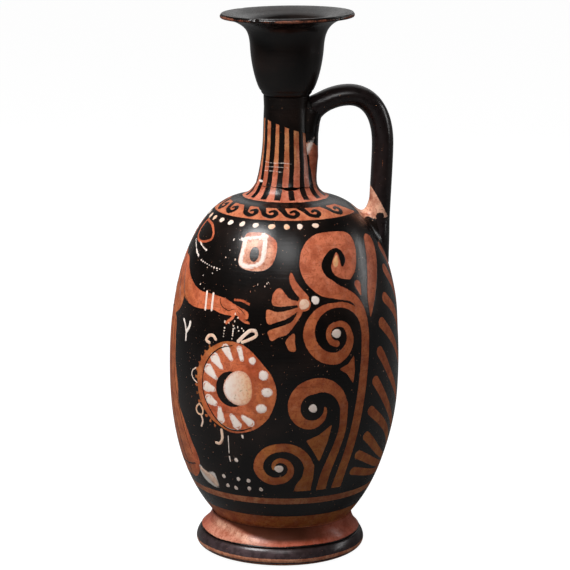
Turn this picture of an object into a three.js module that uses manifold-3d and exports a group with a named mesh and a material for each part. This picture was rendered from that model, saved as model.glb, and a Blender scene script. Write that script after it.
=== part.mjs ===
// A lekythos: an ancient oil jug of fired clay, thrown in four pieces on the wheel and joined with slip.
// Millimetres, +Z up. The origin is on the wheel axis, on the ground under the foot.
// The picture side faces -Y and the handle stands on the +Y side.
import * as THREE from 'three';
import { mergeVertices } from 'three/addons/utils/BufferGeometryUtils.js';
import Module from 'manifold-3d';

// Heights of the pieces, in the order in which they are stacked
const FOOT_HEIGHT = 20.2;
const SLIP_THICKNESS = 0.6;
const BODY_HEIGHT = 176.6;
const BOND_THICKNESS = 0.8;
const NECK_HEIGHT = 46;
const MOUTH_HEIGHT = 43.7;

// Foot: a torus moulding under a hollow-cheeked upper moulding, hollowed underneath
const FOOT_RADIUS = 46.4;
const FOOT_WAIST_RADIUS = 38;
const FOOT_BASE_RADIUS = 39.5;
const RESTING_RING_WIDTH = 8.5;
const TORUS_HEIGHT = 10.4;
const TORUS_WIDEST = 6.5;
const FOOT_SHELF_RADIUS = 43.9;
const FOOT_GROOVE_DEPTH = 0.8;
const FOOT_GROOVE_WIDTH = 0.7;
const FOOT_RECESS_DEPTH = 8;

// Body: an egg-shaped wall with its floor, rounding over the shoulder to a short collar
const BODY_RADIUS = 61.2;
const BODY_WIDEST = 80.7;
const BODY_WALL = 5;
const BODY_FLOOR = 6;
const SHOULDER_TURN_RADIUS = 26.3;
const COLLAR_RISE = 7;
const COLLAR_RADIUS = 16.5;

// Neck: a tube that flares at its root
const NECK_RADIUS = 11.8;
const NECK_NARROWEST = 40.3;
const NECK_TOP_RADIUS = 12.1;
const NECK_WALL = 4.2;
const BOND_SETBACK = 0.6;

// Mouth: a bell with a wide flaring lip
const BELL_RADIUS = 19.2;
const BELL_HEIGHT = 23.7;
const LIP_RADIUS = 34.2;
const LIP_EDGE = 1.6;
const LIP_CROWN_RADIUS = 29.5;
const LIP_CROWN = 0.9;
const LIP_FALL_RADIUS = 22.4;
const LIP_FALL = 2.4;
const MOUTH_WALL = 3.6;

// Handle: a pulled strap from the neck over to the shoulder, with a clay pad at each root.
// The insets are taken from the body's greatest radius: to the limb's outer face, and to its foot's middle.
const HANDLE_INSET = 3.9;
const HANDLE_THICKNESS = 11.3;
const HANDLE_WIDTH = 15;
const HANDLE_ROOT_DROP = 8.4;
const HANDLE_CREST = 5.9;
const HANDLE_CREST_REACH = 33;
const HANDLE_FULL_REACH_DROP = 26;
const HANDLE_SHOULDER_INSET = 11.6;
const HANDLE_ROOT_FLARE = 2.5;
const HANDLE_FLARE_LENGTH = 16;
const NECK_PAD_LENGTH = 34;
const NECK_PAD_HALF_WIDTH = 8.2;
const NECK_PAD_TAIL_HALF_WIDTH = 4.5;
const NECK_PAD_PROUD = 7.4;
const NECK_PAD_TAIL_PROUD = 1.3;
const SHOULDER_PAD_RISE = 19;
const SHOULDER_PAD_REACH = 8.4;
const SHOULDER_PAD_LIP = 2;

// Clearance where one piece is cut to the curve of another
const SEAT_GAP = 0.3;

// Facets around the wheel axis, steps along the walls, and steps and sides of the handle
const BODY_FACETS = 40;
const SLIM_FACETS = 32;
const LOWER_STEPS = 9;
const UPPER_STEPS = 11;
const COLLAR_STEPS = 4;
const HANDLE_STEPS = 30;
const STRAP_SIDES = 14;
const PAD_STEPS = 10;

// Colours of the fired clay and its gloss
const BLACK_GLOSS = 0x1b1715;
const NECK_RED = 0x8a4330;
const FOOT_RED = 0x8d3a2a;
const RAW_CLAY = 0xb8704a;
const OLD_FILL = 0xcbb394;

const wasm = await Module();
wasm.setup();

// Points of a profile: x is the distance from the wheel axis, y the height
const at = (radius, height) => new THREE.Vector2(radius, height);
const mix = THREE.MathUtils.lerp;
const ease = THREE.MathUtils.smoothstep;

function bend(from, controlA, controlB, to, steps) {
  return new THREE.CubicBezierCurve(from, controlA, controlB, to).getPoints(steps);
}

function raised(points, height) {
  return points.map((point) => at(point.x, point.y + height));
}

// Moves an upward outer profile in by the wall, square to its surface
function inset(points, wall) {
  return points.map((point, i) => {
    const before = points[Math.max(i - 1, 0)];
    const after = points[Math.min(i + 1, points.length - 1)];
    const along = after.clone().sub(before).normalize();
    return at(point.x - wall * along.y, point.y + wall * along.x);
  });
}

// Keeps the part of an upward profile between two heights, cut through at the lower one
function between(points, low, high) {
  const first = points.findIndex((point) => point.y > low);
  const below = points[Math.max(first - 1, 0)];
  const share = (low - below.y) / (points[first].y - below.y);
  const start = below.y < low ? below.clone().lerp(points[first], share) : at(points[first].x, low);
  return [start, ...points.slice(first).filter((point) => point.y < high)];
}

function turned(profile, facets) {
  const geometry = new THREE.LatheGeometry(profile, facets);
  geometry.rotateX(Math.PI / 2);
  return geometry;
}

// Solids for cutting
function solid(geometry) {
  const bare = geometry.clone();
  bare.deleteAttribute('normal');
  bare.deleteAttribute('uv');
  const merged = mergeVertices(bare, 1e-4);
  const corners = merged.index.array;
  const kept = [];
  for (let i = 0; i < corners.length; i += 3) {
    const [a, b, c] = corners.slice(i, i + 3);
    if (a !== b && b !== c && c !== a) {
      kept.push(a, b, c);
    }
  }
  const mesh = new wasm.Mesh({
    numProp: 3,
    vertProperties: new Float32Array(merged.attributes.position.array),
    triVerts: new Uint32Array(kept),
  });
  return new wasm.Manifold(mesh);
}

function geometryOf(manifold) {
  const mesh = manifold.getMesh();
  const geometry = new THREE.BufferGeometry();
  geometry.setAttribute('position', new THREE.BufferAttribute(mesh.vertProperties, mesh.numProp));
  geometry.setIndex(new THREE.BufferAttribute(mesh.triVerts, 1));
  geometry.computeVertexNormals();
  return geometry;
}

// A closed skin through rings of equal length, with a fan over each end
function lofted(rings) {
  const sides = rings[0].length;
  const positions = rings.flat();
  const faces = [];
  for (let i = 0; i + 1 < rings.length; i += 1) {
    for (let j = 0; j < sides; j += 1) {
      const a = i * sides + j;
      const b = i * sides + ((j + 1) % sides);
      faces.push(a, b, a + sides, b, b + sides, a + sides);
    }
  }
  const middleOf = (ring) => ring
    .reduce((sum, point) => sum.add(point), new THREE.Vector3())
    .divideScalar(sides);
  const first = positions.push(middleOf(rings[0])) - 1;
  const last = positions.push(middleOf(rings[rings.length - 1])) - 1;
  const end = (rings.length - 1) * sides;
  for (let j = 0; j < sides; j += 1) {
    const k = (j + 1) % sides;
    faces.push(first, k, j);
    faces.push(last, end + j, end + k);
  }
  const geometry = new THREE.BufferGeometry().setFromPoints(positions);
  geometry.setIndex(faces);
  return geometry;
}

// An oval ring: one half axis lies across the handle's plane, the other along a direction in it
function ovalRing(centre, across, direction, along, sides) {
  const ring = [];
  for (let j = 0; j < sides; j += 1) {
    const angle = (2 * Math.PI * j) / sides;
    const point = centre.clone().addScaledVector(direction, along * Math.cos(angle));
    point.x += across * Math.sin(angle);
    ring.push(point);
  }
  return ring;
}

// Heights of the joints above the ground
const footTop = FOOT_HEIGHT;
const bodyBase = footTop + SLIP_THICKNESS;
const bodyTop = bodyBase + BODY_HEIGHT;
const neckBase = bodyTop + BOND_THICKNESS;
const neckTop = neckBase + NECK_HEIGHT;
const mouthBase = neckTop + SLIP_THICKNESS;

// Distances of the handle's limb from the wheel axis
const limbReach = BODY_RADIUS - HANDLE_INSET - HANDLE_THICKNESS / 2;
const shoulderReach = BODY_RADIUS - HANDLE_SHOULDER_INSET;

// Outer profiles, each from its own base upwards
function footOuter() {
  const grooveTop = TORUS_HEIGHT + FOOT_GROOVE_WIDTH;
  const grooveRadius = FOOT_SHELF_RADIUS - FOOT_GROOVE_DEPTH;
  const underTorus = bend(
    at(FOOT_BASE_RADIUS, 0),
    at(mix(FOOT_BASE_RADIUS, FOOT_RADIUS, 0.75), TORUS_WIDEST * 0.12),
    at(FOOT_RADIUS, TORUS_WIDEST * 0.45),
    at(FOOT_RADIUS, TORUS_WIDEST),
    5,
  );
  const overTorus = bend(
    at(FOOT_RADIUS, TORUS_WIDEST),
    at(FOOT_RADIUS, mix(TORUS_WIDEST, TORUS_HEIGHT, 0.6)),
    at(mix(FOOT_RADIUS, FOOT_SHELF_RADIUS, 0.4), TORUS_HEIGHT),
    at(FOOT_SHELF_RADIUS, TORUS_HEIGHT),
    4,
  );
  const hollowCheek = bend(
    at(FOOT_SHELF_RADIUS, grooveTop),
    at(mix(FOOT_SHELF_RADIUS, FOOT_WAIST_RADIUS, 0.4), mix(grooveTop, FOOT_HEIGHT, 0.24)),
    at(mix(FOOT_SHELF_RADIUS, FOOT_WAIST_RADIUS, 0.9), mix(grooveTop, FOOT_HEIGHT, 0.46)),
    at(FOOT_WAIST_RADIUS, FOOT_HEIGHT),
    6,
  );
  return [
    ...underTorus,
    ...overTorus.slice(1),
    at(grooveRadius, TORUS_HEIGHT),
    at(grooveRadius, grooveTop),
    ...hollowCheek,
  ];
}

function bodyOuter(lowerSteps, upperSteps, collarSteps) {
  const turn = BODY_HEIGHT - COLLAR_RISE;
  const lowerWall = bend(
    at(FOOT_WAIST_RADIUS, 0),
    at(mix(FOOT_WAIST_RADIUS, BODY_RADIUS, 0.6), BODY_WIDEST * 0.2),
    at(BODY_RADIUS, BODY_WIDEST * 0.485),
    at(BODY_RADIUS, BODY_WIDEST),
    lowerSteps,
  );
  const upperWall = bend(
    at(BODY_RADIUS, BODY_WIDEST),
    at(BODY_RADIUS, mix(BODY_WIDEST, turn, 0.629)),
    at(mix(SHOULDER_TURN_RADIUS, BODY_RADIUS, 0.51), mix(BODY_WIDEST, turn, 0.962)),
    at(SHOULDER_TURN_RADIUS, turn),
    upperSteps,
  );
  const collar = bend(
    at(SHOULDER_TURN_RADIUS, turn),
    at(mix(SHOULDER_TURN_RADIUS, COLLAR_RADIUS, 0.56), turn + COLLAR_RISE * 0.15),
    at(mix(SHOULDER_TURN_RADIUS, COLLAR_RADIUS, 0.867), turn + COLLAR_RISE * 0.586),
    at(COLLAR_RADIUS, BODY_HEIGHT),
    collarSteps,
  );
  return [...lowerWall, ...upperWall.slice(1), ...collar.slice(1)];
}

function neckOuter() {
  const flare = bend(
    at(COLLAR_RADIUS, 0),
    at(mix(NECK_RADIUS, COLLAR_RADIUS, 0.48), NECK_NARROWEST * 0.145),
    at(mix(NECK_RADIUS, COLLAR_RADIUS, 0.13), NECK_NARROWEST * 0.54),
    at(NECK_RADIUS, NECK_NARROWEST),
    7,
  );
  return [...flare, at(NECK_TOP_RADIUS, NECK_HEIGHT)];
}

function mouthOuter() {
  const underLip = MOUTH_HEIGHT - LIP_CROWN - LIP_EDGE;
  const bell = bend(
    at(NECK_TOP_RADIUS, 0),
    at(mix(NECK_TOP_RADIUS, BELL_RADIUS, 0.46), BELL_HEIGHT * 0.12),
    at(mix(NECK_TOP_RADIUS, BELL_RADIUS, 0.88), BELL_HEIGHT * 0.56),
    at(BELL_RADIUS, BELL_HEIGHT),
    6,
  );
  const flare = bend(
    at(BELL_RADIUS, BELL_HEIGHT),
    at(mix(BELL_RADIUS, LIP_RADIUS, 0.04), mix(BELL_HEIGHT, underLip, 0.43)),
    at(mix(BELL_RADIUS, LIP_RADIUS, 0.13), mix(BELL_HEIGHT, underLip, 0.83)),
    at(LIP_RADIUS, underLip),
    7,
  );
  return [...bell, ...flare.slice(1), at(LIP_RADIUS, underLip + LIP_EDGE)];
}

// Closed profiles of the turned pieces
function footProfile() {
  const recessRadius = FOOT_BASE_RADIUS - RESTING_RING_WIDTH;
  const recess = bend(
    at(0, FOOT_RECESS_DEPTH),
    at(recessRadius * 0.6, FOOT_RECESS_DEPTH),
    at(recessRadius * 0.9, FOOT_RECESS_DEPTH * 0.7),
    at(recessRadius, 0),
    6,
  );
  return [...recess, ...footOuter(), at(0, FOOT_HEIGHT)];
}

function bodyProfile() {
  const outer = bodyOuter(LOWER_STEPS, UPPER_STEPS, COLLAR_STEPS);
  const inner = between(inset(bodyOuter(6, 8, 3), BODY_WALL), BODY_FLOOR, BODY_HEIGHT);
  return raised(
    [at(0, 0), ...outer, at(COLLAR_RADIUS - NECK_WALL, BODY_HEIGHT), ...inner.reverse(), at(0, BODY_FLOOR)],
    bodyBase,
  );
}

function neckProfile() {
  const outer = neckOuter();
  const bore = outer.map((point) => at(point.x - NECK_WALL, point.y)).reverse();
  return raised([...outer, ...bore, outer[0]], neckBase);
}

function mouthProfile() {
  const outer = mouthOuter();
  const bellInner = BELL_RADIUS - MOUTH_WALL;
  const boreRadius = NECK_TOP_RADIUS - NECK_WALL;
  const lipTop = bend(
    outer[outer.length - 1],
    at(mix(LIP_RADIUS, LIP_CROWN_RADIUS, 0.5), MOUTH_HEIGHT),
    at(LIP_CROWN_RADIUS, MOUTH_HEIGHT),
    at(LIP_CROWN_RADIUS - LIP_CROWN, MOUTH_HEIGHT),
    4,
  );
  const funnel = bend(
    at(LIP_FALL_RADIUS, MOUTH_HEIGHT - LIP_FALL),
    at(bellInner, MOUTH_HEIGHT - LIP_FALL * 2),
    at(bellInner, mix(BELL_HEIGHT, MOUTH_HEIGHT, 0.4)),
    at(bellInner, BELL_HEIGHT),
    5,
  );
  const bowl = bend(
    at(bellInner, BELL_HEIGHT),
    at(bellInner, BELL_HEIGHT * 0.55),
    at(boreRadius, BELL_HEIGHT * 0.4),
    at(boreRadius, 0),
    6,
  );
  return raised([...outer, ...lipTop.slice(1), ...funnel, ...bowl.slice(1), outer[0]], mouthBase);
}

// Flat layers between the turned pieces
function slipDisc(radius, base, thickness) {
  return [at(0, base), at(radius, base), at(radius, base + thickness), at(0, base + thickness)];
}

function slipRing(inside, outside, base, thickness) {
  return [
    at(inside, base),
    at(outside, base),
    at(outside, base + thickness),
    at(inside, base + thickness),
    at(inside, base),
  ];
}

// The outside of the vase from its widest point to the lip, grown by the seat gap.
// The handle and its pads are cut to it.
function vaseEnvelope() {
  const outside = [
    ...raised(bodyOuter(LOWER_STEPS, UPPER_STEPS, COLLAR_STEPS).slice(LOWER_STEPS), bodyBase),
    ...raised(neckOuter(), neckBase),
    ...raised(mouthOuter(), mouthBase),
  ];
  const grown = inset(outside, -SEAT_GAP);
  const low = at(0, grown[0].y);
  const high = at(0, grown[grown.length - 1].y);
  return solid(turned([low, ...grown, high], BODY_FACETS));
}

// Height of the shoulder above the ground at a distance from the axis
function shoulderHeight(radius) {
  const wall = raised(bodyOuter(LOWER_STEPS, 60, COLLAR_STEPS), bodyBase);
  const over = wall.findLast((point) => point.x >= radius);
  return over.y;
}

// Depth to which the lower root is drawn, under the shoulder's surface at the strap's outer face
function rootDepth() {
  return shoulderHeight(shoulderReach + HANDLE_THICKNESS / 2) - BODY_WALL;
}

// Centre line of the handle in the plane of the axis: y is the distance from the axis
function handleLine() {
  const crest = neckTop + HANDLE_CREST - HANDLE_THICKNESS / 2;
  const root = neckTop - HANDLE_ROOT_DROP;
  const full = neckTop - HANDLE_FULL_REACH_DROP;
  const seat = shoulderHeight(shoulderReach);
  const inPlane = (reach, height) => new THREE.Vector3(0, reach, height);
  const line = new THREE.CurvePath();
  line.add(new THREE.CubicBezierCurve3(
    inPlane(NECK_RADIUS - NECK_WALL, root - NECK_WALL * 0.4),
    inPlane(mix(NECK_RADIUS, HANDLE_CREST_REACH, 0.3), mix(root, crest, 0.62)),
    inPlane(mix(NECK_RADIUS, HANDLE_CREST_REACH, 0.62), crest),
    inPlane(HANDLE_CREST_REACH, crest),
  ));
  line.add(new THREE.CubicBezierCurve3(
    inPlane(HANDLE_CREST_REACH, crest),
    inPlane(mix(HANDLE_CREST_REACH, limbReach, 0.56), crest),
    inPlane(limbReach, mix(crest, full, 0.3)),
    inPlane(limbReach, full),
  ));
  line.add(new THREE.CubicBezierCurve3(
    inPlane(limbReach, full),
    inPlane(limbReach, mix(full, seat, 0.25)),
    inPlane(shoulderReach, mix(full, seat, 0.6)),
    inPlane(shoulderReach, rootDepth()),
  ));
  return line;
}

// The strap along its line, widening towards the shoulder
function strap(growth) {
  const line = handleLine();
  const seat = shoulderHeight(shoulderReach);
  const rings = [];
  for (let i = 0; i <= HANDLE_STEPS; i += 1) {
    const share = i / HANDLE_STEPS;
    const centre = line.getPointAt(share);
    const along = line.getTangentAt(share);
    const outward = new THREE.Vector3(0, -along.z, along.y);
    const flare = HANDLE_ROOT_FLARE * ease(seat - centre.z, -HANDLE_FLARE_LENGTH, 0);
    const across = (HANDLE_WIDTH + flare) / 2 + growth;
    rings.push(ovalRing(centre, across, outward, HANDLE_THICKNESS / 2 + growth, STRAP_SIDES));
  }
  return solid(lofted(rings));
}

// Clay smeared down the neck under the upper root
function neckPad() {
  const start = neckTop - HANDLE_ROOT_DROP;
  const downTheNeck = raised(neckOuter(), neckBase);
  const radiusAt = (height) => {
    const k = downTheNeck.findIndex((point) => point.y >= height);
    const below = downTheNeck[Math.max(k - 1, 0)];
    const above = downTheNeck[Math.max(k, 0)];
    const rise = Math.max(above.y - below.y, 1e-6);
    return mix(below.x, above.x, THREE.MathUtils.clamp((height - below.y) / rise, 0, 1));
  };
  const outward = new THREE.Vector3(0, 1, 0);
  const rings = [];
  for (let i = 0; i <= PAD_STEPS; i += 1) {
    const share = i / PAD_STEPS;
    const height = start - share * NECK_PAD_LENGTH;
    const spread = mix(HANDLE_WIDTH * 0.42, NECK_PAD_HALF_WIDTH, ease(share, 0, 0.2));
    const across = mix(spread, NECK_PAD_TAIL_HALF_WIDTH, ease(share, 0.35, 1));
    const proud = mix(NECK_PAD_PROUD, NECK_PAD_TAIL_PROUD, share);
    const centre = new THREE.Vector3(0, radiusAt(height), height);
    rings.push(ovalRing(centre, across, outward, proud, STRAP_SIDES));
  }
  return solid(lofted(rings));
}

// Clay worked up round the lower root, thickest on the side towards the neck
function shoulderPad() {
  const outward = new THREE.Vector3(0, 1, 0);
  const innerFace = shoulderReach - HANDLE_THICKNESS / 2;
  const outerEdge = shoulderReach + HANDLE_THICKNESS / 4;
  const top = shoulderHeight(innerFace) + SHOULDER_PAD_RISE;
  const bottom = rootDepth();
  const narrow = HANDLE_WIDTH / 2 - SHOULDER_PAD_LIP;
  const wide = (HANDLE_WIDTH + HANDLE_ROOT_FLARE) / 2 + SHOULDER_PAD_LIP;
  const rings = [];
  for (let i = 0; i <= PAD_STEPS; i += 1) {
    const height = mix(top, bottom, i / PAD_STEPS);
    const spread = ease(top - height, 0, SHOULDER_PAD_RISE * 1.5) ** 1.3;
    const innerEdge = innerFace + SEAT_GAP - SHOULDER_PAD_REACH * spread;
    const centre = new THREE.Vector3(0, (innerEdge + outerEdge) / 2, height);
    const along = (outerEdge - innerEdge) / 2;
    rings.push(ovalRing(centre, mix(narrow, wide, spread), outward, along, STRAP_SIDES));
  }
  return solid(lofted(rings));
}

// The pieces
const lekythos = new THREE.Group();
lekythos.name = 'lekythos';

function addPiece(name, geometry, color, roughness) {
  const material = new THREE.MeshStandardMaterial({ color, roughness, metalness: 0 });
  const mesh = new THREE.Mesh(geometry, material);
  mesh.name = name;
  lekythos.add(mesh);
}

const envelope = vaseEnvelope();
const strapSolid = strap(0);
const strapRoom = strap(SEAT_GAP);

const footSlip = slipDisc(FOOT_WAIST_RADIUS, footTop, SLIP_THICKNESS);
const neckBond = slipRing(COLLAR_RADIUS - NECK_WALL, COLLAR_RADIUS - BOND_SETBACK, bodyTop, BOND_THICKNESS);
const mouthSlip = slipRing(NECK_TOP_RADIUS - NECK_WALL, NECK_TOP_RADIUS, neckTop, SLIP_THICKNESS);
const neckPadSolid = neckPad().subtract(envelope).subtract(strapRoom);
const shoulderPadSolid = shoulderPad().subtract(envelope).subtract(strapRoom);

addPiece('foot', turned(footProfile(), BODY_FACETS), FOOT_RED, 0.55);
addPiece('foot_slip', turned(footSlip, BODY_FACETS), RAW_CLAY, 0.8);
addPiece('body', turned(bodyProfile(), BODY_FACETS), BLACK_GLOSS, 0.3);
addPiece('neck_bond', turned(neckBond, SLIM_FACETS), OLD_FILL, 0.85);
addPiece('neck', turned(neckProfile(), SLIM_FACETS), NECK_RED, 0.5);
addPiece('mouth_slip', turned(mouthSlip, SLIM_FACETS), RAW_CLAY, 0.8);
addPiece('mouth', turned(mouthProfile(), SLIM_FACETS), BLACK_GLOSS, 0.3);
addPiece('handle', geometryOf(strapSolid.subtract(envelope)), BLACK_GLOSS, 0.3);
addPiece('handle_neck_pad', geometryOf(neckPadSolid), BLACK_GLOSS, 0.35);
addPiece('handle_shoulder_pad', geometryOf(shoulderPadSolid), RAW_CLAY, 0.6);

export default lekythos;
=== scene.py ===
import math

import bpy
import numpy as np
from mathutils import Matrix, Quaternion, Vector


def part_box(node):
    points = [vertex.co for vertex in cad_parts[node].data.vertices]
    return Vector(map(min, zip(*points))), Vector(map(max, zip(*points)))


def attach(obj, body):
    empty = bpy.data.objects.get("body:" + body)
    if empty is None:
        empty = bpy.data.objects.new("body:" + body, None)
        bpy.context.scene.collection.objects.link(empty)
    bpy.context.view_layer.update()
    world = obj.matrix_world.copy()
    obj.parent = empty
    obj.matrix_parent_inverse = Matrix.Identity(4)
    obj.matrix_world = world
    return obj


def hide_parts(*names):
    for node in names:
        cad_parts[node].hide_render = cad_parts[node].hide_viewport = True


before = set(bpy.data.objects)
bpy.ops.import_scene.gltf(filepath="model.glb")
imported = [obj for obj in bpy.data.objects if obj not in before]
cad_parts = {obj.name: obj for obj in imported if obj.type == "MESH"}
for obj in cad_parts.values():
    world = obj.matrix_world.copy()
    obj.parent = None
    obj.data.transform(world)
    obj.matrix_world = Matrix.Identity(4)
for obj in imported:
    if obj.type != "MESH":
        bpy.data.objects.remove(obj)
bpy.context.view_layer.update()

# Sizes are in millimetres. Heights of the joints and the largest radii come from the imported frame.
MM = 0.001


def underside(node):
    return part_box(node)[0].z / MM


def top(node):
    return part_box(node)[1].z / MM


def radius_of(node):
    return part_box(node)[1].x / MM


# The wall that is painted lies this far under the solids' outline, and raised paint fills the rest
RELIEF = 0.15

# Foot
FOOT_RADIUS = radius_of("foot")
FOOT_HEIGHT = top("foot")
WAIST_RADIUS = radius_of("foot_slip")
FOOT_BASE_RADIUS = 38.6
FOOT_RECESS_RADIUS = 31.0
FOOT_RECESS_DEPTH = 8.0
TORUS_WIDEST = 5.2
TORUS_HEIGHT = 10.4
SHELF_RADIUS = 43.9
GROOVE_RADIUS = 43.1
GROOVE_TOP = 11.1

# Body
BODY_BASE = underside("body")
BODY_TOP = top("body")
BODY_RADIUS = radius_of("body")
BODY_WIDEST = BODY_BASE + 80.7
BODY_WALL = 5.0
BODY_FLOOR = BODY_BASE + 6.0
SHOULDER_TURN = BODY_TOP - 7.0
SHOULDER_TURN_RADIUS = 26.3
COLLAR_RADIUS = 16.5

# Neck
NECK_BASE = underside("neck")
NECK_TOP = top("neck")
NECK_NARROWEST = NECK_BASE + 40.3
NECK_RADIUS = 11.8
NECK_TOP_RADIUS = 12.1
NECK_WALL = 4.2

# Mouth
MOUTH_BASE = underside("mouth")
MOUTH_TOP = top("mouth")
BELL_TOP = MOUTH_BASE + 23.7
BELL_RADIUS = 19.2
LIP_SPREAD = 0.9
LIP_RADIUS = radius_of("mouth") + LIP_SPREAD
UNDER_LIP = MOUTH_TOP - 2.4
LIP_ROUND = 0.5
LIP_EDGE = MOUTH_TOP - 0.9
LIP_CROWN_RADIUS = 34.0
LIP_FALL_RADIUS = 22.4
LIP_FALL = 3.4
MOUTH_WALL = 3.6

# Handle: a strap in the plane x = 0, with points as (distance from the axis, height)
STRAP_THICKNESS = 11.3
STRAP_WIDTH = 15.0
STRAP_CREST = top("handle") - STRAP_THICKNESS / 2
LIMB_INSET = 0.4
LIMB_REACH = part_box("handle")[1].y / MM - STRAP_THICKNESS / 2 - LIMB_INSET
SHOULDER_REACH = BODY_RADIUS - 11.6
ROOT_HEIGHT = NECK_TOP - 10.0
CREST_REACH = 33.0
FULL_REACH = NECK_TOP - 26.0

# Painted bands of the body and the edges of its zones, by height
RESERVED_TOP = 28.2
LOWER_BAND = (36.3, 39.9)
WAVE_BAND = (184.6, 191.4)
WAVE_RING = 189.5
SHOULDER_EDGE = (181, 184)
COLLAR_EDGE = (190.8, 192.2)

# Fineness of the turned skins: columns round the axis, and steps from row to row
COLUMNS = 480
NECK_COLUMNS = 320
SMALL_COLUMNS = 240
ROW_STEP = 0.95
NECK_STEP = 0.35
MOUTH_STEP = 0.9
FOOT_STEP = 0.6
CAVITY_STEP = 9.0
BORE_STEP = 5.0

# Depths in a painted shape aren't followed further than this
FAR = 3.0

dice = np.random.default_rng(11)


# Curves and outlines
def bezier(start, pull, push, end, steps):
    share = np.linspace(0, 1, steps + 1)[:, None]
    rest = 1 - share
    a, b, c, d = (np.array(corner, float) for corner in (start, pull, push, end))
    return rest**3 * a + 3 * rest**2 * share * b + 3 * rest * share**2 * c + share**3 * d


def curve(start, *arcs):
    """Cubic arcs end to end. Each is its end, its two handles as shares of the way there, and its steps."""
    runs = [np.array([start], float)]
    for end, pull, push, steps in arcs:
        first = runs[-1][-1]
        way = np.subtract(end, first)
        runs.append(bezier(first, first + way * pull, first + way * push, end, steps)[1:])
    return np.vstack(runs)


def mixed(a, b, share):
    return a + (b - a) * share


def smooth(value, low, high):
    share = np.clip((value - low) / (high - low), 0, 1)
    return share * share * (3 - 2 * share)


def bell(value, middle, width):
    return np.exp(-(((value - middle) / width) ** 2))


def turn_from(angle, middle):
    return (angle - middle + 180) % 360 - 180


def off_handle(angle):
    return np.abs(turn_from(angle, 0))


def lengths(points):
    steps = np.linalg.norm(np.diff(points, axis=0), axis=1)
    return np.concatenate([[0], np.cumsum(steps)])


def tangents(line):
    along = np.gradient(line, axis=0)
    return along / (np.linalg.norm(along, axis=1)[:, None] + 1e-9)


def joined(*runs):
    points = np.vstack([np.atleast_2d(np.array(run, float)) for run in runs])
    moved = np.linalg.norm(np.diff(points, axis=0), axis=1) > 1e-6
    return points[np.append(True, moved)]


def respaced(points, step):
    length = lengths(points)
    count = max(2, round(length[-1] / step))
    places = np.linspace(0, length[-1], count + 1)
    return np.column_stack([np.interp(places, length, column) for column in points.T])


def smooth_line(points, per=8, closed=False):
    points = np.array(points, float)
    if closed:
        padded = np.vstack([points[-1], points, points[:2]])
    else:
        padded = np.vstack([2 * points[0] - points[1], points, 2 * points[-1] - points[-2]])
    t = np.linspace(0, 1, per, endpoint=False)[:, None]
    runs = []
    for a, b, c, d in zip(padded, padded[1:], padded[2:], padded[3:]):
        runs.append(b + 0.5 * t * (c - a + t * (2 * a - 5 * b + 4 * c - d + t * (3 * (b - c) + d - a))))
    runs.append(padded[-2:-1])
    return np.vstack(runs)


BODY_OUTLINE = curve(
    (WAIST_RADIUS, BODY_BASE),
    ((BODY_RADIUS, BODY_WIDEST), (0.6, 0.2), (1, 0.485), 200),
    ((SHOULDER_TURN_RADIUS, SHOULDER_TURN), (0, 0.629), (0.49, 0.962), 200),
    ((COLLAR_RADIUS, BODY_TOP), (0.56, 0.15), (0.867, 0.586), 60),
)
NECK_OUTLINE = joined(
    curve((COLLAR_RADIUS, NECK_BASE), ((NECK_RADIUS, NECK_NARROWEST), (0.52, 0.145), (0.87, 0.54), 100)),
    (NECK_TOP_RADIUS, NECK_TOP),
)
LIP_UNDER = (LIP_RADIUS - LIP_ROUND, UNDER_LIP)
MOUTH_OUTLINE = joined(
    curve((NECK_TOP_RADIUS, MOUTH_BASE), ((BELL_RADIUS, BELL_TOP), (0.46, 0.12), (0.88, 0.56), 60)),
    bezier(
        (BELL_RADIUS, BELL_TOP),
        (mixed(BELL_RADIUS, LIP_RADIUS, 0.03), mixed(BELL_TOP, UNDER_LIP, 0.46)),
        (mixed(BELL_RADIUS, LIP_RADIUS, 0.08), mixed(BELL_TOP, UNDER_LIP, 0.90)),
        LIP_UNDER,
        60,
    ),
)
TORUS = curve(
    (FOOT_BASE_RADIUS, 0),
    ((FOOT_RADIUS, TORUS_WIDEST), (0.65, 0.14), (1, 0.45), 40),
    ((SHELF_RADIUS, TORUS_HEIGHT), (0, 0.30), (0.50, 0.84), 40),
)
CHEEK = curve((SHELF_RADIUS, GROOVE_TOP), ((WAIST_RADIUS, FOOT_HEIGHT), (0.4, 0.24), (0.9, 0.46), 60))
FOOT_OUTLINE = joined(
    respaced(TORUS, FOOT_STEP),
    [(GROOVE_RADIUS, TORUS_HEIGHT + 0.1), (GROOVE_RADIUS, GROOVE_TOP - 0.1)],
    respaced(CHEEK, FOOT_STEP),
)


def inset(outline, depth):
    along = tangents(outline)
    return outline + depth * np.column_stack([-along[:, 1], along[:, 0]])


# A pot thrown by hand runs a little out of true. It is fullest on a side near the handle.
FULL_SIDE = 7.0
BODY_WANDER = 0.12
BELLY_MORE = 0.8
BASE_LESS = 1.1
WAIST_SAG = 0.4
FOOT_LACK = (1.1, 2.7)
NECK_LEAN = 0.6
LIP_SAG = 1.4


def fullness(angle):
    """1 on the side that is fullest, near the handle, and 0 opposite."""
    return (1 + np.cos(np.radians(angle - FULL_SIDE))) / 2


def body_wave(angle, height):
    turn = np.radians(angle - FULL_SIDE)
    lobes = 1 - 0.5 * np.cos(2 * turn) - 0.5 * np.cos(3 * turn)
    belly = BELLY_MORE * smooth(height, 118, 140) * smooth(height, 185, 165)
    fuller = belly - BASE_LESS * smooth(height, 85, 48)
    return -BODY_WANDER * lobes * smooth(height, BODY_BASE, 40) + fuller * fullness(angle) ** 2


def waist_drop(angle):
    """How far the joint of foot and body sags on the fuller side."""
    return WAIST_SAG * fullness(angle)


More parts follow.
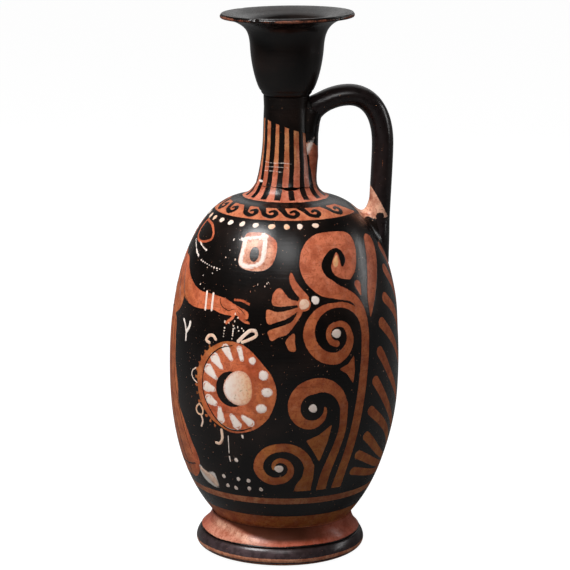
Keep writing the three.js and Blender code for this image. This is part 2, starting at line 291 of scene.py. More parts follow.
def foot_lack(angle, radius):
    """How far the foot falls short of its true circle on the same side."""
    lack = mixed(*FOOT_LACK, smooth(radius, 37, 44)) * fullness(angle) ** 2
    return np.minimum(radius * 0.1, lack)


class Wall:
    """The outside of a turned piece. A place on it is (angle, height): degrees from the handle, and mm.

    Angles below 180 are on the side that the camera sees, and right is towards the handle there.
    """

    def __init__(self, outline, wave=None):
        self.radii, self.heights = outline.T
        self.lengths = lengths(outline)
        along = tangents(outline)
        self.out, self.up = along[:, 1], -along[:, 0]
        self.wave = wave

    def radius(self, height):
        return np.interp(height, self.heights, self.radii)

    def length(self, height):
        return np.interp(height, self.heights, self.lengths)

    def flat(self, centre, angle, height):
        turn = np.radians(turn_from(centre[0], np.asarray(angle)))
        return turn * self.radius(height), self.length(height) - self.length(centre[1])

    def at(self, centre, right, up):
        height = np.interp(self.length(centre[1]) + up, self.lengths, self.heights)
        return centre[0] - np.degrees(right / self.radius(height)), height

    def point(self, angle, height, lift=0.0):
        radius = self.radius(height) + lift * np.interp(height, self.heights, self.out)
        if self.wave:
            radius = radius + self.wave(angle, height)
        raised = height + lift * np.interp(height, self.heights, self.up)
        turn = np.radians(angle)
        return np.column_stack([radius * np.sin(turn), radius * np.cos(turn), raised + 0 * turn])


BODY_WALL_LINE = inset(BODY_OUTLINE, RELIEF)
body_wall = Wall(BODY_WALL_LINE, body_wave)
neck_wall = Wall(NECK_OUTLINE)


# Brush shapes: depth() is how far a point lies inside the shape, in mm, below zero outside
def to_segment(right, up, start, end):
    """The nearest place on a straight segment, as a share of its length, and the distance to it."""
    run, rise = end[:2] - start[:2]
    share = ((right - start[0]) * run + (up - start[1]) * rise) / (run * run + rise * rise + 1e-12)
    share = np.clip(share, 0, 1)
    return share, np.hypot(right - start[0] - share * run, up - start[1] - share * rise)


class Brush:
    """A brush line through points (right, up) with a width at each."""

    def __init__(self, points, widths):
        self.line = smooth_line(np.column_stack([points, widths]))
        reach = FAR + max(widths) / 2
        self.low = self.line[:, :2].min(axis=0) - reach
        self.high = self.line[:, :2].max(axis=0) + reach

    def depth(self, right, up):
        best = np.full(right.shape, -FAR)
        for start, end in zip(self.line, self.line[1:]):
            share, gap = to_segment(right, up, start, end)
            best = np.maximum(best, mixed(start[2], end[2], share) / 2 - gap)
        return best


class Patch:
    """A filled outline through points (right, up)."""

    def __init__(self, points, rounded=True):
        self.line = smooth_line(points, closed=True) if rounded else np.vstack([points, points[:1]])
        self.low = self.line.min(axis=0) - FAR
        self.high = self.line.max(axis=0) + FAR

    def depth(self, right, up):
        gap = np.full(right.shape, FAR * 100)
        inside = np.zeros(right.shape, bool)
        for start, end in zip(self.line, self.line[1:]):
            run, rise = end - start
            gap = np.minimum(gap, to_segment(right, up, start, end)[1])
            crosses = (start[1] > up) != (end[1] > up)
            inside ^= crosses & (right < start[0] + (up - start[1]) * run / (rise + 1e-12))
        return np.where(inside, gap, -gap)


class Painting:
    """Shapes painted on a wall: how deep each of its points lies in bare clay and in thin white, in mm."""

    def __init__(self, wall, angle, height):
        self.wall = wall
        self.angle = angle
        self.height = height
        self.clay = np.full(angle.shape, -FAR)
        self.white = np.full(angle.shape, -FAR)

    def lay(self, centre, shape, colour, side):
        right, up = self.wall.flat((side * centre[0], centre[1]), self.angle, self.height)
        right = right * side
        near = (right > shape.low[0]) & (right < shape.high[0]) & (up > shape.low[1]) & (up < shape.high[1])
        depth = shape.depth(right[near], up[near])
        if colour == "clay":
            self.clay[near] = np.maximum(self.clay[near], depth)
        elif colour == "black":
            self.clay[near] = np.minimum(self.clay[near], -depth)
        else:
            self.white[near] = np.maximum(self.white[near], depth)

    def centred(self, places):
        places = np.array(places, float)
        centre = places.mean(axis=0)
        return centre, np.column_stack(self.wall.flat(centre, places[:, 0], places[:, 1]))

    def line(self, places, widths, colour="clay", side=1):
        centre, points = self.centred(places)
        self.lay(centre, Brush(points, np.broadcast_to(widths, len(points))), colour, side)

    def patch(self, places, colour="clay", side=1, rounded=True):
        centre, points = self.centred(places)
        self.lay(centre, Patch(points, rounded), colour, side)

    def oval(self, centre, right_half, up_half, colour="clay", side=1):
        turn = np.radians(np.arange(0, 360, 15))
        outline = np.column_stack([right_half * np.cos(turn), up_half * np.sin(turn)])
        self.lay(centre, Patch(outline), colour, side)

    def volute(self, centre, radii, widths, side=1):
        """A scroll that winds inwards, with a radius and a width at each quarter of a turn."""
        quarters = np.arange(len(radii))
        fine = np.linspace(0, quarters[-1], 6 * quarters[-1] + 1)
        radius = np.interp(fine, quarters, radii)
        turned = np.radians(90 * fine)
        points = np.column_stack([radius * np.cos(turned), radius * np.sin(turned)])
        self.lay(centre, Brush(points, np.interp(fine, quarters, widths)), "clay", side)

    def band(self, low, high):
        low, high, here = self.wall.length(low), self.wall.length(high), self.wall.length(self.height)
        self.clay = np.maximum(self.clay, np.minimum(here - low, high - here))


class RaisedPaint:
    """Thick paint on a wall: separate closed strokes and dabs that share one mesh.

    Each has a shade from white to tan, and a bed: 0 on the black slip, 1 on the clay.
    """

    STEP = 0.7
    SINK = 0.05
    SMALL_DAB = 4.0
    CROWN = 1.05
    # A stroke runs on past its ends by this share of its half width, and is this much narrower there
    END_REACH = 0.8
    END_WIDTH = 0.35
    # Across a stroke: offset in half widths, rise in lifts or fall in sinks, and how far inside the paint
    SECTION = np.array([(-1, -1, 0), (-0.7, 0.75, 0.7), (0, 1, 1), (0.7, 0.75, 0.7), (1, -1, 0), (0, -2, 0)])
    # The same from near the middle of a dab to its rim
    DOME = np.array([(0.4, 1, 0.95), (0.75, 0.85, 0.7), (0.93, 0.5, 0.35), (1, -1, 0)])

    def __init__(self, wall, lift):
        self.wall = wall
        self.lift = lift
        self.points = []
        self.faces = []
        self.marks = {"shade": [], "core": [], "bed": []}
        self.count = 0

    def risen(self, rise, height):
        return rise * np.where(rise > 0, self.lift * height, self.SINK)

    def add(self, centre, flat, lifts, faces, shade, core, bed):
        angle, height = self.wall.at(centre, *flat.T)
        self.points.append(self.wall.point(angle, height, lifts))
        self.faces += [tuple(np.array(face) + self.count) for face in faces]
        for mark, value in (("shade", shade), ("core", core), ("bed", bed)):
            self.marks[mark].append(np.broadcast_to(value, len(flat)))
        self.count += len(flat)

    def line(self, places, widths, shade=0.0, bed=0.0, side=1, height=1.0):
        places = np.array(places, float) * (side, 1)
        centre = places.mean(axis=0)
        widths = np.broadcast_to(widths, len(places))
        line = respaced(smooth_line(np.column_stack([*self.wall.flat(centre, *places.T), widths])), self.STEP)
        line = np.vstack([line[0], line, line[-1]])
        along = tangents(line[:, :2])
        half = line[:, 2] / 2
        line[0, :2] -= along[1] * half[1] * self.END_REACH
        line[-1, :2] += along[-2] * half[-2] * self.END_REACH
        half[[0, -1]] *= self.END_WIDTH
        across = np.column_stack([-along[:, 1], along[:, 0]])
        across[[0, -1]] = across[[1, -2]]
        inner = np.ones(len(line))
        inner[[0, -1]] = 0
        offset, rise, core = self.SECTION.T
        flat = (line[:, None, :2] + across[:, None] * np.outer(half, offset)[..., None]).reshape(-1, 2)
        sides = len(offset)
        faces = [tuple(range(sides)), tuple(range(len(flat) - 1, len(flat) - 1 - sides, -1))]
        for i in range(0, len(flat) - sides, sides):
            for j in range(sides):
                a, b = i + j, i + (j + 1) % sides
                faces.append((a, a + sides, b + sides, b))
        lifts = np.tile(self.risen(rise, height), len(line))
        self.add(centre, flat, lifts, faces, shade, np.outer(inner, core).ravel(), bed)

    def dab(self, centre, right_half, up_half, shade=0.0, bed=0.0, side=1, height=1.0, drift=0.0):
        """A round dab, whose shade may drift by so much for each mm to the right."""
        sides = 12 if max(right_half, up_half) < self.SMALL_DAB else 36
        turn = np.arange(sides) * 2 * np.pi / sides
        wobble = 1 + 0.07 * np.sin(2 * turn + dice.uniform(0, 6))
        wobble = wobble + 0.05 * np.sin(3 * turn + dice.uniform(0, 6))
        rim = np.column_stack([right_half * np.cos(turn), up_half * np.sin(turn)]) * wobble[:, None]
        share, rise, core = self.DOME.T
        flat = np.vstack([(0, 0), (share[:, None, None] * rim).reshape(-1, 2), (0, 0)])
        rises = np.repeat(self.risen(rise, height), sides)
        lifts = np.concatenate([[self.lift * height * self.CROWN], rises, [-2 * self.SINK]])
        cores = np.concatenate([[1], np.repeat(core, sides), [0]])
        faces = []
        last = len(flat) - 1
        end = last - sides
        for j in range(sides):
            k = (j + 1) % sides
            faces.append((0, 1 + j, 1 + k))
            for a in range(1, end, sides):
                faces.append((a + j, a + sides + j, a + sides + k, a + k))
            faces.append((end + j, last, end + k))
        shades = np.clip(shade + drift * flat[:, 0], 0, 1)
        self.add((centre[0] * side, centre[1]), flat, lifts, faces, shades, cores, bed)

    def string(self, places, size, gap, shade=0.0, bed=0.0):
        line = respaced(smooth_line(places), 0.5)
        length = lengths(np.column_stack(self.wall.flat(line[0], *line.T)))
        for spot in np.arange(0, length[-1], gap):
            place = [np.interp(spot, length, column) for column in line.T]
            self.dab(place, size * dice.uniform(0.5, 1.2), size * dice.uniform(0.4, 1.2), shade, bed)

    def piece(self, name, material):
        marks = {mark: np.concatenate(values) for mark, values in self.marks.items()}
        return make_piece(name, np.vstack(self.points), self.faces, material, marks)


# Meshes
def make_piece(name, points, faces, material, marks, uvs=None, crease=40):
    mesh = bpy.data.meshes.new(name)
    mesh.from_pydata((points * MM).tolist(), [], [tuple(int(i) for i in face) for face in faces])
    mesh.polygons.foreach_set("use_smooth", np.ones(len(mesh.polygons), bool))
    mesh.set_sharp_from_angle(angle=math.radians(crease))
    for key, values in marks.items():
        mesh.attributes.new(key, "FLOAT", "POINT").data.foreach_set("value", np.array(values, np.float32))
    if uvs is not None:
        mesh.uv_layers.new(name="OFBake").data.foreach_set("uv", np.array(uvs, np.float32).ravel())
    mesh.materials.append(material)
    mesh.update()
    piece = bpy.data.objects.new(name, mesh)
    bpy.context.scene.collection.objects.link(piece)
    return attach(piece, "root")


def turned_piece(name, loop, material, shape=None, paint=None, columns=COLUMNS):
    """A piece turned on the wheel axis from a closed outline, which may start and end on the axis."""
    loop = np.array(loop, float)
    on_axis = loop[0, 0] == 0
    rows = loop[1:-1] if on_axis else loop[:-1]
    angle = np.tile(np.arange(columns) * 360 / columns, (len(rows), 1))
    radius = np.repeat(rows[:, :1], columns, axis=1)
    height = np.repeat(rows[:, 1:], columns, axis=1)
    if shape:
        radius, height = shape(angle, radius, height)
    marks = paint(angle, radius, height) if paint else {}
    turn = np.radians(angle)
    points = np.stack([radius * np.sin(turn), radius * np.cos(turn), height], axis=-1).reshape(-1, 3)
    index = np.arange(len(rows) * columns).reshape(len(rows), columns)
    upper = index[1:] if on_axis else np.roll(index, -1, axis=0)
    lower = index[:-1] if on_axis else index
    quads = np.stack([lower, upper, np.roll(upper, -1, axis=1), np.roll(lower, -1, axis=1)], axis=-1)
    faces = quads.reshape(-1, 4).tolist()
    length = lengths(loop)
    share = length / length[-1]
    column = np.arange(columns) / columns
    low = share[1:-2] if on_axis else share[:-1]
    high = share[2:-1] if on_axis else share[1:]
    u = np.stack([column, column, column + 1 / columns, column + 1 / columns], axis=-1)
    v = np.stack([low, high, high, low], axis=-1)
    uv = np.stack(np.broadcast_arrays(u[None, :, :], v[:, None, :]), axis=-1).reshape(-1, 2).tolist()
    marks = {key: np.broadcast_to(value, radius.shape).ravel() for key, value in marks.items()}
    if on_axis:
        points = np.vstack([points, [0, 0, loop[0, 1]], [0, 0, loop[-1, 1]]])
        first, last = len(points) - 2, len(points) - 1
        for j in range(columns):
            k = (j + 1) % columns
            faces.append((first, int(index[0, j]), int(index[0, k])))
            faces.append((last, int(index[-1, k]), int(index[-1, j])))
            uv += [(column[j], share[0]), (column[j], share[1]), (column[j] + 1 / columns, share[1])]
            uv += [(column[j], share[-1]), (column[j] + 1 / columns, share[-2]), (column[j], share[-2])]
        marks = {key: np.append(value, [value[0], value[-1]]) for key, value in marks.items()}
    return make_piece(name, points, faces, material, marks, uv)


def lofted_piece(name, rings, material, paint):
    """A closed skin through rings of equal length, with a fan over each end."""
    rings = np.array(rings)
    count, sides = rings.shape[:2]
    points = np.vstack([rings.reshape(-1, 3), rings[0].mean(axis=0), rings[-1].mean(axis=0)])
    index = np.arange(count * sides).reshape(count, sides)
    beside = np.roll(index, -1, axis=1)
    faces = np.stack([index[:-1], beside[:-1], beside[1:], index[1:]], axis=-1).reshape(-1, 4).tolist()
    first, last = count * sides, count * sides + 1
    for j in range(sides):
        faces.append((first, int(beside[0, j]), int(index[0, j])))
        faces.append((last, int(index[-1, j]), int(beside[-1, j])))
    marks = {key: np.broadcast_to(value, len(points)) for key, value in paint(points).items()}
    return make_piece(name, points, faces, material, marks)


# Materials
def rgb(red, green, blue):
    return (red, green, blue, 1.0)


GLOSS_BLACK = rgb(0.0024, 0.0015, 0.0012)
GLOSS_BROWN = rgb(0.011, 0.0060, 0.0045)
# Purple-grey of thin, worn gloss; on the foot's torus and on the handle it is also a painted sheen
GLOSS_THIN_AND_SHEEN = rgb(0.105, 0.068, 0.074)
CLAY_ORANGE = rgb(0.60, 0.150, 0.062)
CLAY_DEEP = rgb(0.27, 0.050, 0.020)
CLAY_OCHRE = rgb(0.43, 0.142, 0.036)
CLAY_ROSE = rgb(0.46, 0.115, 0.070)
CLAY_RED = rgb(0.46, 0.075, 0.026)
CLAY_LIGHT = rgb(0.74, 0.41, 0.28)
CLAY_DARK = rgb(0.05, 0.016, 0.008)
CHIP_PALE = rgb(0.36, 0.22, 0.14)
PAINT_WHITE = rgb(0.80, 0.71, 0.65)
PAINT_TAN = rgb(0.70, 0.37, 0.16)
PAINT_SOIL = rgb(0.30, 0.17, 0.10)
RIM_ON_BLACK = rgb(0.07, 0.040, 0.028)
RIM_ON_CLAY = rgb(0.52, 0.20, 0.12)
FILL_CREAM = rgb(0.50, 0.34, 0.22)
FILL_DARK = rgb(0.010, 0.007, 0.006)
GLOSS_COAT = 0.6
CLAY_COAT = 0.35
GLOSS_ROUGHNESS = 0.26


class Tree:
    """Short calls for building the nodes of one material, or of the world."""

    def __init__(self, owner):
        self.owner = owner
        self.owner.use_nodes = True
        self.nodes = owner.node_tree.nodes
        self.links = owner.node_tree.links
        self.nodes.clear()
        coordinates = self.add("ShaderNodeTexCoord").outputs
        self.place = coordinates["Object"]
        self.direction = coordinates["Generated"]

    def add(self, kind, inputs=None, **settings):
        made = self.nodes.new(kind)
        for key, value in settings.items():
            setattr(made, key, value)
        for key, value in (inputs or {}).items():
            if isinstance(value, bpy.types.NodeSocket):
                self.links.new(value, made.inputs[key])
            else:
                made.inputs[key].default_value = value
        return made

    def sum(self, operation, *values):
        inputs = dict(enumerate(values))
        return self.add("ShaderNodeMath", inputs, operation=operation).outputs[0]

    def mix(self, share, low, high):
        inputs = {0: share, 6: low, 7: high}
        return self.add("ShaderNodeMix", inputs, data_type="RGBA").outputs[2]

    def blend(self, share, low, high):
        return self.add("ShaderNodeMix", {0: share, 2: low, 3: high}).outputs[0]

    def ramp(self, value, low, high, to_low=0.0, to_high=1.0):
        inputs = {"Value": value, "From Min": low, "From Max": high, "To Min": to_low, "To Max": to_high}
        return self.add("ShaderNodeMapRange", inputs, interpolation_type="SMOOTHSTEP").outputs[0]

    def mark(self, name):
        return self.add("ShaderNodeAttribute", attribute_name=name).outputs["Fac"]

    def stain(self, colour, tint, value, low, high, share=1.0):
        """A colour with so much of a tint over it where a value is high."""
        return self.mix(self.ramp(value, low, high, 0.0, share), colour, tint)

    def frayed(self, mark, noise, amount):
        """A mark whose edges are frayed by a noise."""
        return self.sum("ADD", self.mark(mark), self.sum("MULTIPLY_ADD", noise, amount, -amount / 2))

    def scaled(self, scale):
        inputs = {0: self.place, 1: scale}
        return self.add("ShaderNodeVectorMath", inputs, operation="MULTIPLY").outputs[0]

    def noise(self, grain, detail=3.0, stretch=(1, 1, 1)):
        """Noise with grains of about the given size in mm, drawn out where stretch is above 1."""
        scale = tuple(1 / (grain * MM * share) for share in stretch)
        inputs = {"Vector": self.scaled(scale), "Scale": 1.0, "Detail": detail}
        return self.add("ShaderNodeTexNoise", inputs).outputs["Fac"]

    def share_towards(self, place, direction, low, high):
        """0 to 1 by how far a place lies in a direction."""
        inputs = {0: place, 1: direction}
        far = self.add("ShaderNodeVectorMath", inputs, operation="DOT_PRODUCT").outputs["Value"]
        return self.ramp(far, low, high)

    def finish(self, colour, roughness, heights, specular=0.02, coat=0.0, metres=0.0001):
        bump = self.add("ShaderNodeBump", {"Strength": 1.0, "Distance": metres, "Height": heights}).outputs[0]
        inputs = {"Base Color": colour, "Roughness": roughness, "Normal": bump, "Coat Normal": bump,
                  "Coat Weight": coat}
        shader = self.add("ShaderNodeBsdfPrincipled", inputs)
        shader.inputs["Specular IOR Level"].default_value = specular
        shader.inputs["Coat Roughness"].default_value = GLOSS_ROUGHNESS
        out = self.add("ShaderNodeOutputMaterial")
        self.links.new(shader.outputs[0], out.inputs["Surface"])
        return self.owner


def new_material(name):
    return Tree(bpy.data.materials.new(name))


def painted_clay(name):
    """Black gloss over clay. Marks say where clay and white show, and how clay and gloss are tinted."""
    tree = new_material(name)
    ragged = tree.noise(0.9, 2.0)
    brushed = tree.noise(6.0, 5.0)
    speckled = tree.noise(1.3, 5.0)
    wheel = tree.noise(0.8, 3.0, (30, 30, 1))
    broad = tree.noise(22.0, 4.0)
    mottled = tree.noise(3.2, 5.0)
    flaked = tree.noise(1.1, 4.0)
    grain = tree.noise(0.45, 3.0)
    reserved = tree.ramp(tree.frayed("clay", ragged, 0.5), -0.14, 0.14)
    chip_limit = tree.sum("MULTIPLY_ADD", tree.mark("worn"), -0.30, 0.735)
    chips = tree.ramp(tree.sum("SUBTRACT", flaked, chip_limit), 0.0, 0.03)
    gloss = tree.stain(GLOSS_BLACK, GLOSS_BROWN, broad, 0.40, 0.72)
    gloss = tree.stain(gloss, GLOSS_BROWN, wheel, 0.60, 0.80, 0.4)
    # The mark thin greys the gloss: thin, worn gloss, and a painted sheen where lamp highlights fall on the
    # foot's torus and the handle
    thin = tree.sum("MULTIPLY", tree.mark("thin"), tree.ramp(mottled, 0.35, 0.65, 0.5, 1.0))
    gloss = tree.mix(thin, gloss, GLOSS_THIN_AND_SHEEN)
    clay = CLAY_ORANGE
    # The mark pale also carries painted highlights: inside the window, on the lit left of the foot's cheek,
    # and on the handle's upper root
    for mark, tint in (("ochre", CLAY_OCHRE), ("rose", CLAY_ROSE), ("red", CLAY_RED), ("pale", CLAY_LIGHT)):
        clay = tree.mix(tree.mark(mark), clay, tint)
    clay = tree.stain(clay, CLAY_DEEP, brushed, 0.38, 0.66, 0.65)
    clay = tree.stain(clay, CLAY_DEEP, speckled, 0.48, 0.70, 0.6)
    clay = tree.stain(clay, CLAY_LIGHT, mottled, 0.50, 0.72, 0.10)
    # The mark dark darkens the clay: darker clay on the body and the lip, and a painted shadow of the body on
    # the foot's cheek
    clay = tree.mix(tree.mark("dark"), clay, CLAY_DARK)
    clay = tree.stain(clay, CLAY_DARK, wheel, 0.58, 0.75, 0.35)
    clay = tree.stain(clay, CLAY_DARK, grain, 0.56, 0.74, 0.7)
    bare = tree.stain(clay, CHIP_PALE, grain, 0.35, 0.65)
    colour = tree.mix(reserved, tree.mix(chips, gloss, bare), clay)
    colour = tree.stain(colour, PAINT_WHITE, tree.frayed("white", flaked, 0.9), 0.3, 0.8, 0.9)
    smoothness = tree.ramp(mottled, 0.3, 0.75, 0.30, 0.50)
    dull = tree.ramp(mottled, 0.3, 0.7, 0.46, 0.62)
    heights = tree.sum("MULTIPLY_ADD", wheel, 0.65, tree.sum("MULTIPLY", grain, 0.25))
    heights = tree.sum("MULTIPLY_ADD", tree.sum("MAXIMUM", reserved, chips), -0.35, heights)
    # The clay's coat thins where the mark dark is high, also in the painted shadow on the foot
    dulled = tree.sum("MULTIPLY_ADD", tree.mark("dark"), -CLAY_COAT, CLAY_COAT)
    shine = tree.blend(reserved, GLOSS_COAT, dulled)
    return tree.finish(colour, tree.blend(reserved, smoothness, dull), heights, coat=shine)


def thick_paint(name):
    """Added white and tan paint with brush lines, thin at its rim. Marks: shade to tan, core inwards, bed."""
    tree = new_material(name)
    brushed = tree.noise(1.4, 4.0, (1, 1, 3))
    mottled = tree.noise(2.2, 5.0)
    blotched = tree.noise(1.7, 6.0)
    grain = tree.noise(0.6, 4.0)
    shade = tree.mark("shade")
    stained = tree.sum("MULTIPLY", tree.ramp(blotched, 0.46, 0.66, 0.0, 0.6), shade)
    paint = tree.mix(stained, tree.mix(shade, PAINT_WHITE, PAINT_TAN), CLAY_ORANGE)
    paint = tree.stain(paint, CLAY_LIGHT, brushed, 0.45, 0.75, 0.35)
    rim = tree.mix(tree.mark("bed"), RIM_ON_BLACK, RIM_ON_CLAY)
    colour = tree.stain(rim, paint, tree.frayed("core", grain, 0.9), 0.10, 0.60)
    colour = tree.stain(colour, PAINT_SOIL, mottled, 0.60, 0.76, 0.7)
    heights = tree.sum("MULTIPLY_ADD", brushed, 0.6, tree.sum("MULTIPLY", grain, 0.4))
    return tree.finish(colour, tree.ramp(mottled, 0.3, 0.7, 0.5, 0.7), heights, 0.2)


def old_fill(name):
    """The broken line at the neck: cream fill, dark with soil where it opens. The mark open says where."""
    tree = new_material(name)
    mottled = tree.noise(1.2, 5.0)
    grain = tree.noise(0.3, 4.0)
    colour = tree.stain(FILL_CREAM, CLAY_LIGHT, mottled, 0.4, 0.7)
    colour = tree.stain(colour, FILL_DARK, tree.frayed("open", mottled, 0.8), 0.3, 0.6)
    return tree.finish(colour, tree.ramp(grain, 0.2, 0.8, 0.75, 0.95), mottled, 0.2)


def relief_black(name):
    tree = new_material(name)
    mottled = tree.noise(2.0, 4.0)
    colour = tree.stain(GLOSS_BLACK, GLOSS_BROWN, mottled, 0.4, 0.7)
    return tree.finish(colour, tree.ramp(mottled, 0.3, 0.7, 0.3, 0.45), mottled, coat=GLOSS_COAT)


vase_slip = painted_clay("gloss_over_clay")
white_paint = thick_paint("added_white_paint")
fill = old_fill("neck_fill")
relief_slip = relief_black("relief_line_slip")


# Painted pattern of the neck and of the collar under it
TONGUES = 15
TONGUE_PITCH = 360 / TONGUES
TONGUE_PHASE = 11.5
TONGUE_FOOT = 192.1


def tongues(angle, radius, height):
    """Depth in the clay between black tongues that run down the neck and draw together at its root."""
    angle = angle - 6.0 * np.sin(np.radians(128 - angle)) * smooth(height, 212, 196)
    turn = (angle - TONGUE_PHASE + TONGUE_PITCH / 2) % TONGUE_PITCH - TONGUE_PITCH / 2
    number = np.round((angle - TONGUE_PHASE) / TONGUE_PITCH)
    lean = 1.2 * np.sin(number * 2.4) * smooth(height, 200, 235)
    beside = np.abs(turn - lean) * np.pi / 180 * radius
    width = 2.9 + 0.7 * smooth(height, 204, 194) + 0.3 * np.sin(number * 1.7)
    return np.maximum(beside - width / 2, TONGUE_FOOT - height)


def neck_black_edge(angle):
    return 228.8 + 4.3 * np.sin(np.radians(angle - 94))


def ochre_of(angle, height):
    """Where the clay of the body fired to ochre instead of orange."""
    turn = off_handle(angle)
    scrolls = smooth(turn, 122, 104) * mixed(0.35, 1.0, smooth(height, 105, 60)) * smooth(height, 165, 125)
    figure = 0.5 * smooth(turn, 150, 163) * smooth(height, 158, 146)
    fan = 0.2 * bell(turn, 96, 9) * bell(height, 140, 14)
    return np.clip(np.maximum(scrolls, figure) + fan + 0.7 * smooth(height, 46, 38), 0, 1)


def pale_of(angle, height):
    """Where the clay of the body is paler: on shoulder and collar, lower band, fan and great scroll."""
    turn = off_handle(angle)
    band = 0.2 * smooth(height, 34, 36) * smooth(height, 43, 41)
    shoulder = 0.13 * smooth(height, *SHOULDER_EDGE) + 0.06 * smooth(height, *COLLAR_EDGE)
    fan = 0.20 * bell(turn, 98, 8) * bell(height, 140, 14)
    scroll = 0.07 * smooth(turn, 100, 90) * smooth(height, 146, 156)
    return np.maximum(np.maximum(shoulder, scroll), np.maximum(band, fan))


def dark_of(angle, height):
    """Where the clay of the body is darker: on the scrolls, and low down, on the parts towards the handle."""
    turn = off_handle(angle)
    scrolls = 0.27 * smooth(turn, 104, 96) * smooth(height, 150, 105) * smooth(height, 52, 72)
    return np.maximum(scrolls, 0.27 * smooth(height, 70, 45) * smooth(turn, 112, 77))


# Pattern of the body. A place is (angle, height); sides are the seen one and its mirror image.
SIDES = (1, -1)
VOLUTES = (
    ((70.3, 129.1), (17.3, 14.6, 15.0, 12.8, 7.4, 4.7, 4.5, 5.2), (3.6, 2.6, 6.2, 6.2, 3.6, 2.8, 2.8, 3.4)),
    ((82.6, 90.8), (17.3, 11.7, 9.8, 8.8, 6.6), (4.7, 8.2, 6.4, 4.6, 1.2)),
    ((99.2, 57.7), (16.0, 12.1, 10.8, 7.2, 6.2, 4.9, 2.6), (5.2, 4.6, 5.1, 4.4, 3.2, 2.6, 1.6)),
)
# The great scroll at the top: its outline, and the black hook that winds into it, with the hook's widths
SCROLL = (
    (88.4, 162), (88.3, 167), (86.6, 171.4), (81.9, 175.9), (75.1, 178.3), (65.2, 178.8), (54.7, 178.3),
    (49.4, 176.6), (48.2, 173), (49.6, 168.3), (52.4, 162.3), (54.9, 158.6), (58.5, 155.5), (62, 150.5),
    (66.5, 147.5), (72, 147.2), (79, 149.5), (85.5, 155.5),
)
HOOK = (
    (62.4, 162.8), (61.4, 165.6), (62.2, 168.9), (64.8, 170.2), (69, 168), (72.6, 163.4), (71.9, 159.7),
    (69.4, 157.2), (66, 155), (62.2, 153.6), (57.5, 152.5), (52, 152.5),
)
HOOK_WIDTHS = (1.8, 3.6, 3.0, 2.4, 4.0, 5.4, 4.6, 3.2, 3.8, 4.6, 6.0, 6.4)
STEM_FOOT = 44.3
STEMS = (
    (((68.5, 150.0), (59.3, 146.3), (54.1, 138.7), (52.7, 124), (55.0, 101), (58.8, 75.8), (63.1, 53.3),
      (64.9, 41)), (7.4, 4.8, 4.6, 5.4, 5.5, 5.4, 5.8, 6.4)),
    (((66.0, 91.5), (66.2, 79.2), (67.8, 71.6), (73.0, 54.7), (74.9, 41)), (4.7, 4.4, 4.6, 5.4, 5.6)),
    (((82.9, 58.5), (83.6, 51.5), (85.4, 46.5), (85.8, 41)), (5.2, 6.4, 8.6, 9.8)),
    (((32.0, 170.8), (34.2, 167.4), (37.0, 162.6), (41.5, 154.3), (45.5, 145.2), (48.1, 135.2)),
     (9.0, 9.4, 9.2, 8.0, 6.0, 0.8)),
    (((54.4, 152.5), (53.4, 147.0)), (4.2, 0.8)),
)
FAN_PETALS = (
    ((93.4, 160.7), (94.6, 157.8), (93.5, 153.8), (91, 150.1), (88.4, 147.9), (84.4, 148.4), (87.6, 152.2),
     (90.9, 156.3)),
    ((99.7, 153), (102.6, 150.9), (103.6, 147.8), (103.2, 144.7), (100.1, 143.8), (95.6, 144.1),
     (90.1, 144.8), (89.9, 146.4), (94.3, 147.6), (96.6, 150.1)),
    ((105.6, 142.2), (106.4, 139.6), (106, 136.4), (104.7, 134.7), (100.6, 136), (96.2, 137.6), (91.8, 140.4),
     (89.5, 142.3), (89.9, 143.4), (95, 142), (100.7, 141)),
    ((104.9, 131.4), (104.5, 128.2), (103.2, 126.3), (99.8, 128.3), (95.8, 129.7), (93.1, 132.9),
     (90.5, 136.6), (87.9, 141), (89.1, 142.4), (91.2, 139.2), (93.7, 136), (98.1, 134.1)),
    ((92.1, 130.3), (94.9, 128.4), (96.4, 125.8), (95.5, 123.3), (94.3, 121.3), (91.5, 121.3), (91.8, 125.8)),
)
FAN_HUB = (86.9, 144.9)
FAN_BUD = (80.9, 146.7)
FILLERS = (
    ((60.4, 116.8), (64.0, 112.6), (69.2, 110.5), (64.8, 107.6), (61.0, 101.8), (60.0, 109.0)),
    ((72.2, 81.6), (79.0, 76.2), (85.6, 73.4), (82.0, 68.0), (77.8, 61.0), (74.2, 72.0)),
)
# Leaves of the great palmette below the handle: tip, then a place further down the leaf
LEAVES = (
    ((19.0, 168.0), (9.5, 152.0)),
    ((26.0, 157.5), (13.5, 141.0)),
    ((34.8, 143.9), (18.5, 129.2)),
    ((40.9, 131.9), (23.3, 115.3)),
    ((43.3, 117.5), (27.7, 97.0)),
    ((47.0, 102.4), (29.0, 80.5)),
    ((49.9, 86.4), (27.8, 68.9)),
    ((51.3, 72.7), (32.2, 58.5)),
    ((55.3, 62.5), (29.5, 51.4)),
    ((56.4, 52.8), (29.7, 46.8)),
)


def paint_scrolls(painting, side):
    painting.patch(SCROLL, side=side)
    painting.line(HOOK, HOOK_WIDTHS, "black", side)
    for volute in VOLUTES:
        painting.volute(*volute, side)
    for places, widths in STEMS:
        painting.line(places, widths, side=side)
    for petal in FAN_PETALS:
        painting.patch(petal, side=side)
    for corners in FILLERS:
        painting.patch(corners, side=side, rounded=False)
    painting.oval(FAN_HUB, 3.4, 3.6, side=side)


def paint_under_handle(painting, side):
    """Half of the great palmette: its leaves rise from a stalk and bend outwards to broad tips."""
    for number, (tip, inner) in enumerate(LEAVES):
        root = (4.0, max(46.5, inner[1] - 24))
        broad = 6.4 - 0.2 * number
        back = np.array(painting.wall.flat(tip, *inner))
        end = painting.wall.at(tip, *(back * 0.45 * broad / np.linalg.norm(back)))
        painting.line((root, inner, end), (1.4, broad * 0.8, broad), side=side)
    painting.line(((0.0, 42.0), (0.0, 90.0), (0.0, 172.0)), (3.2, 2.6, 1.2), side=side)


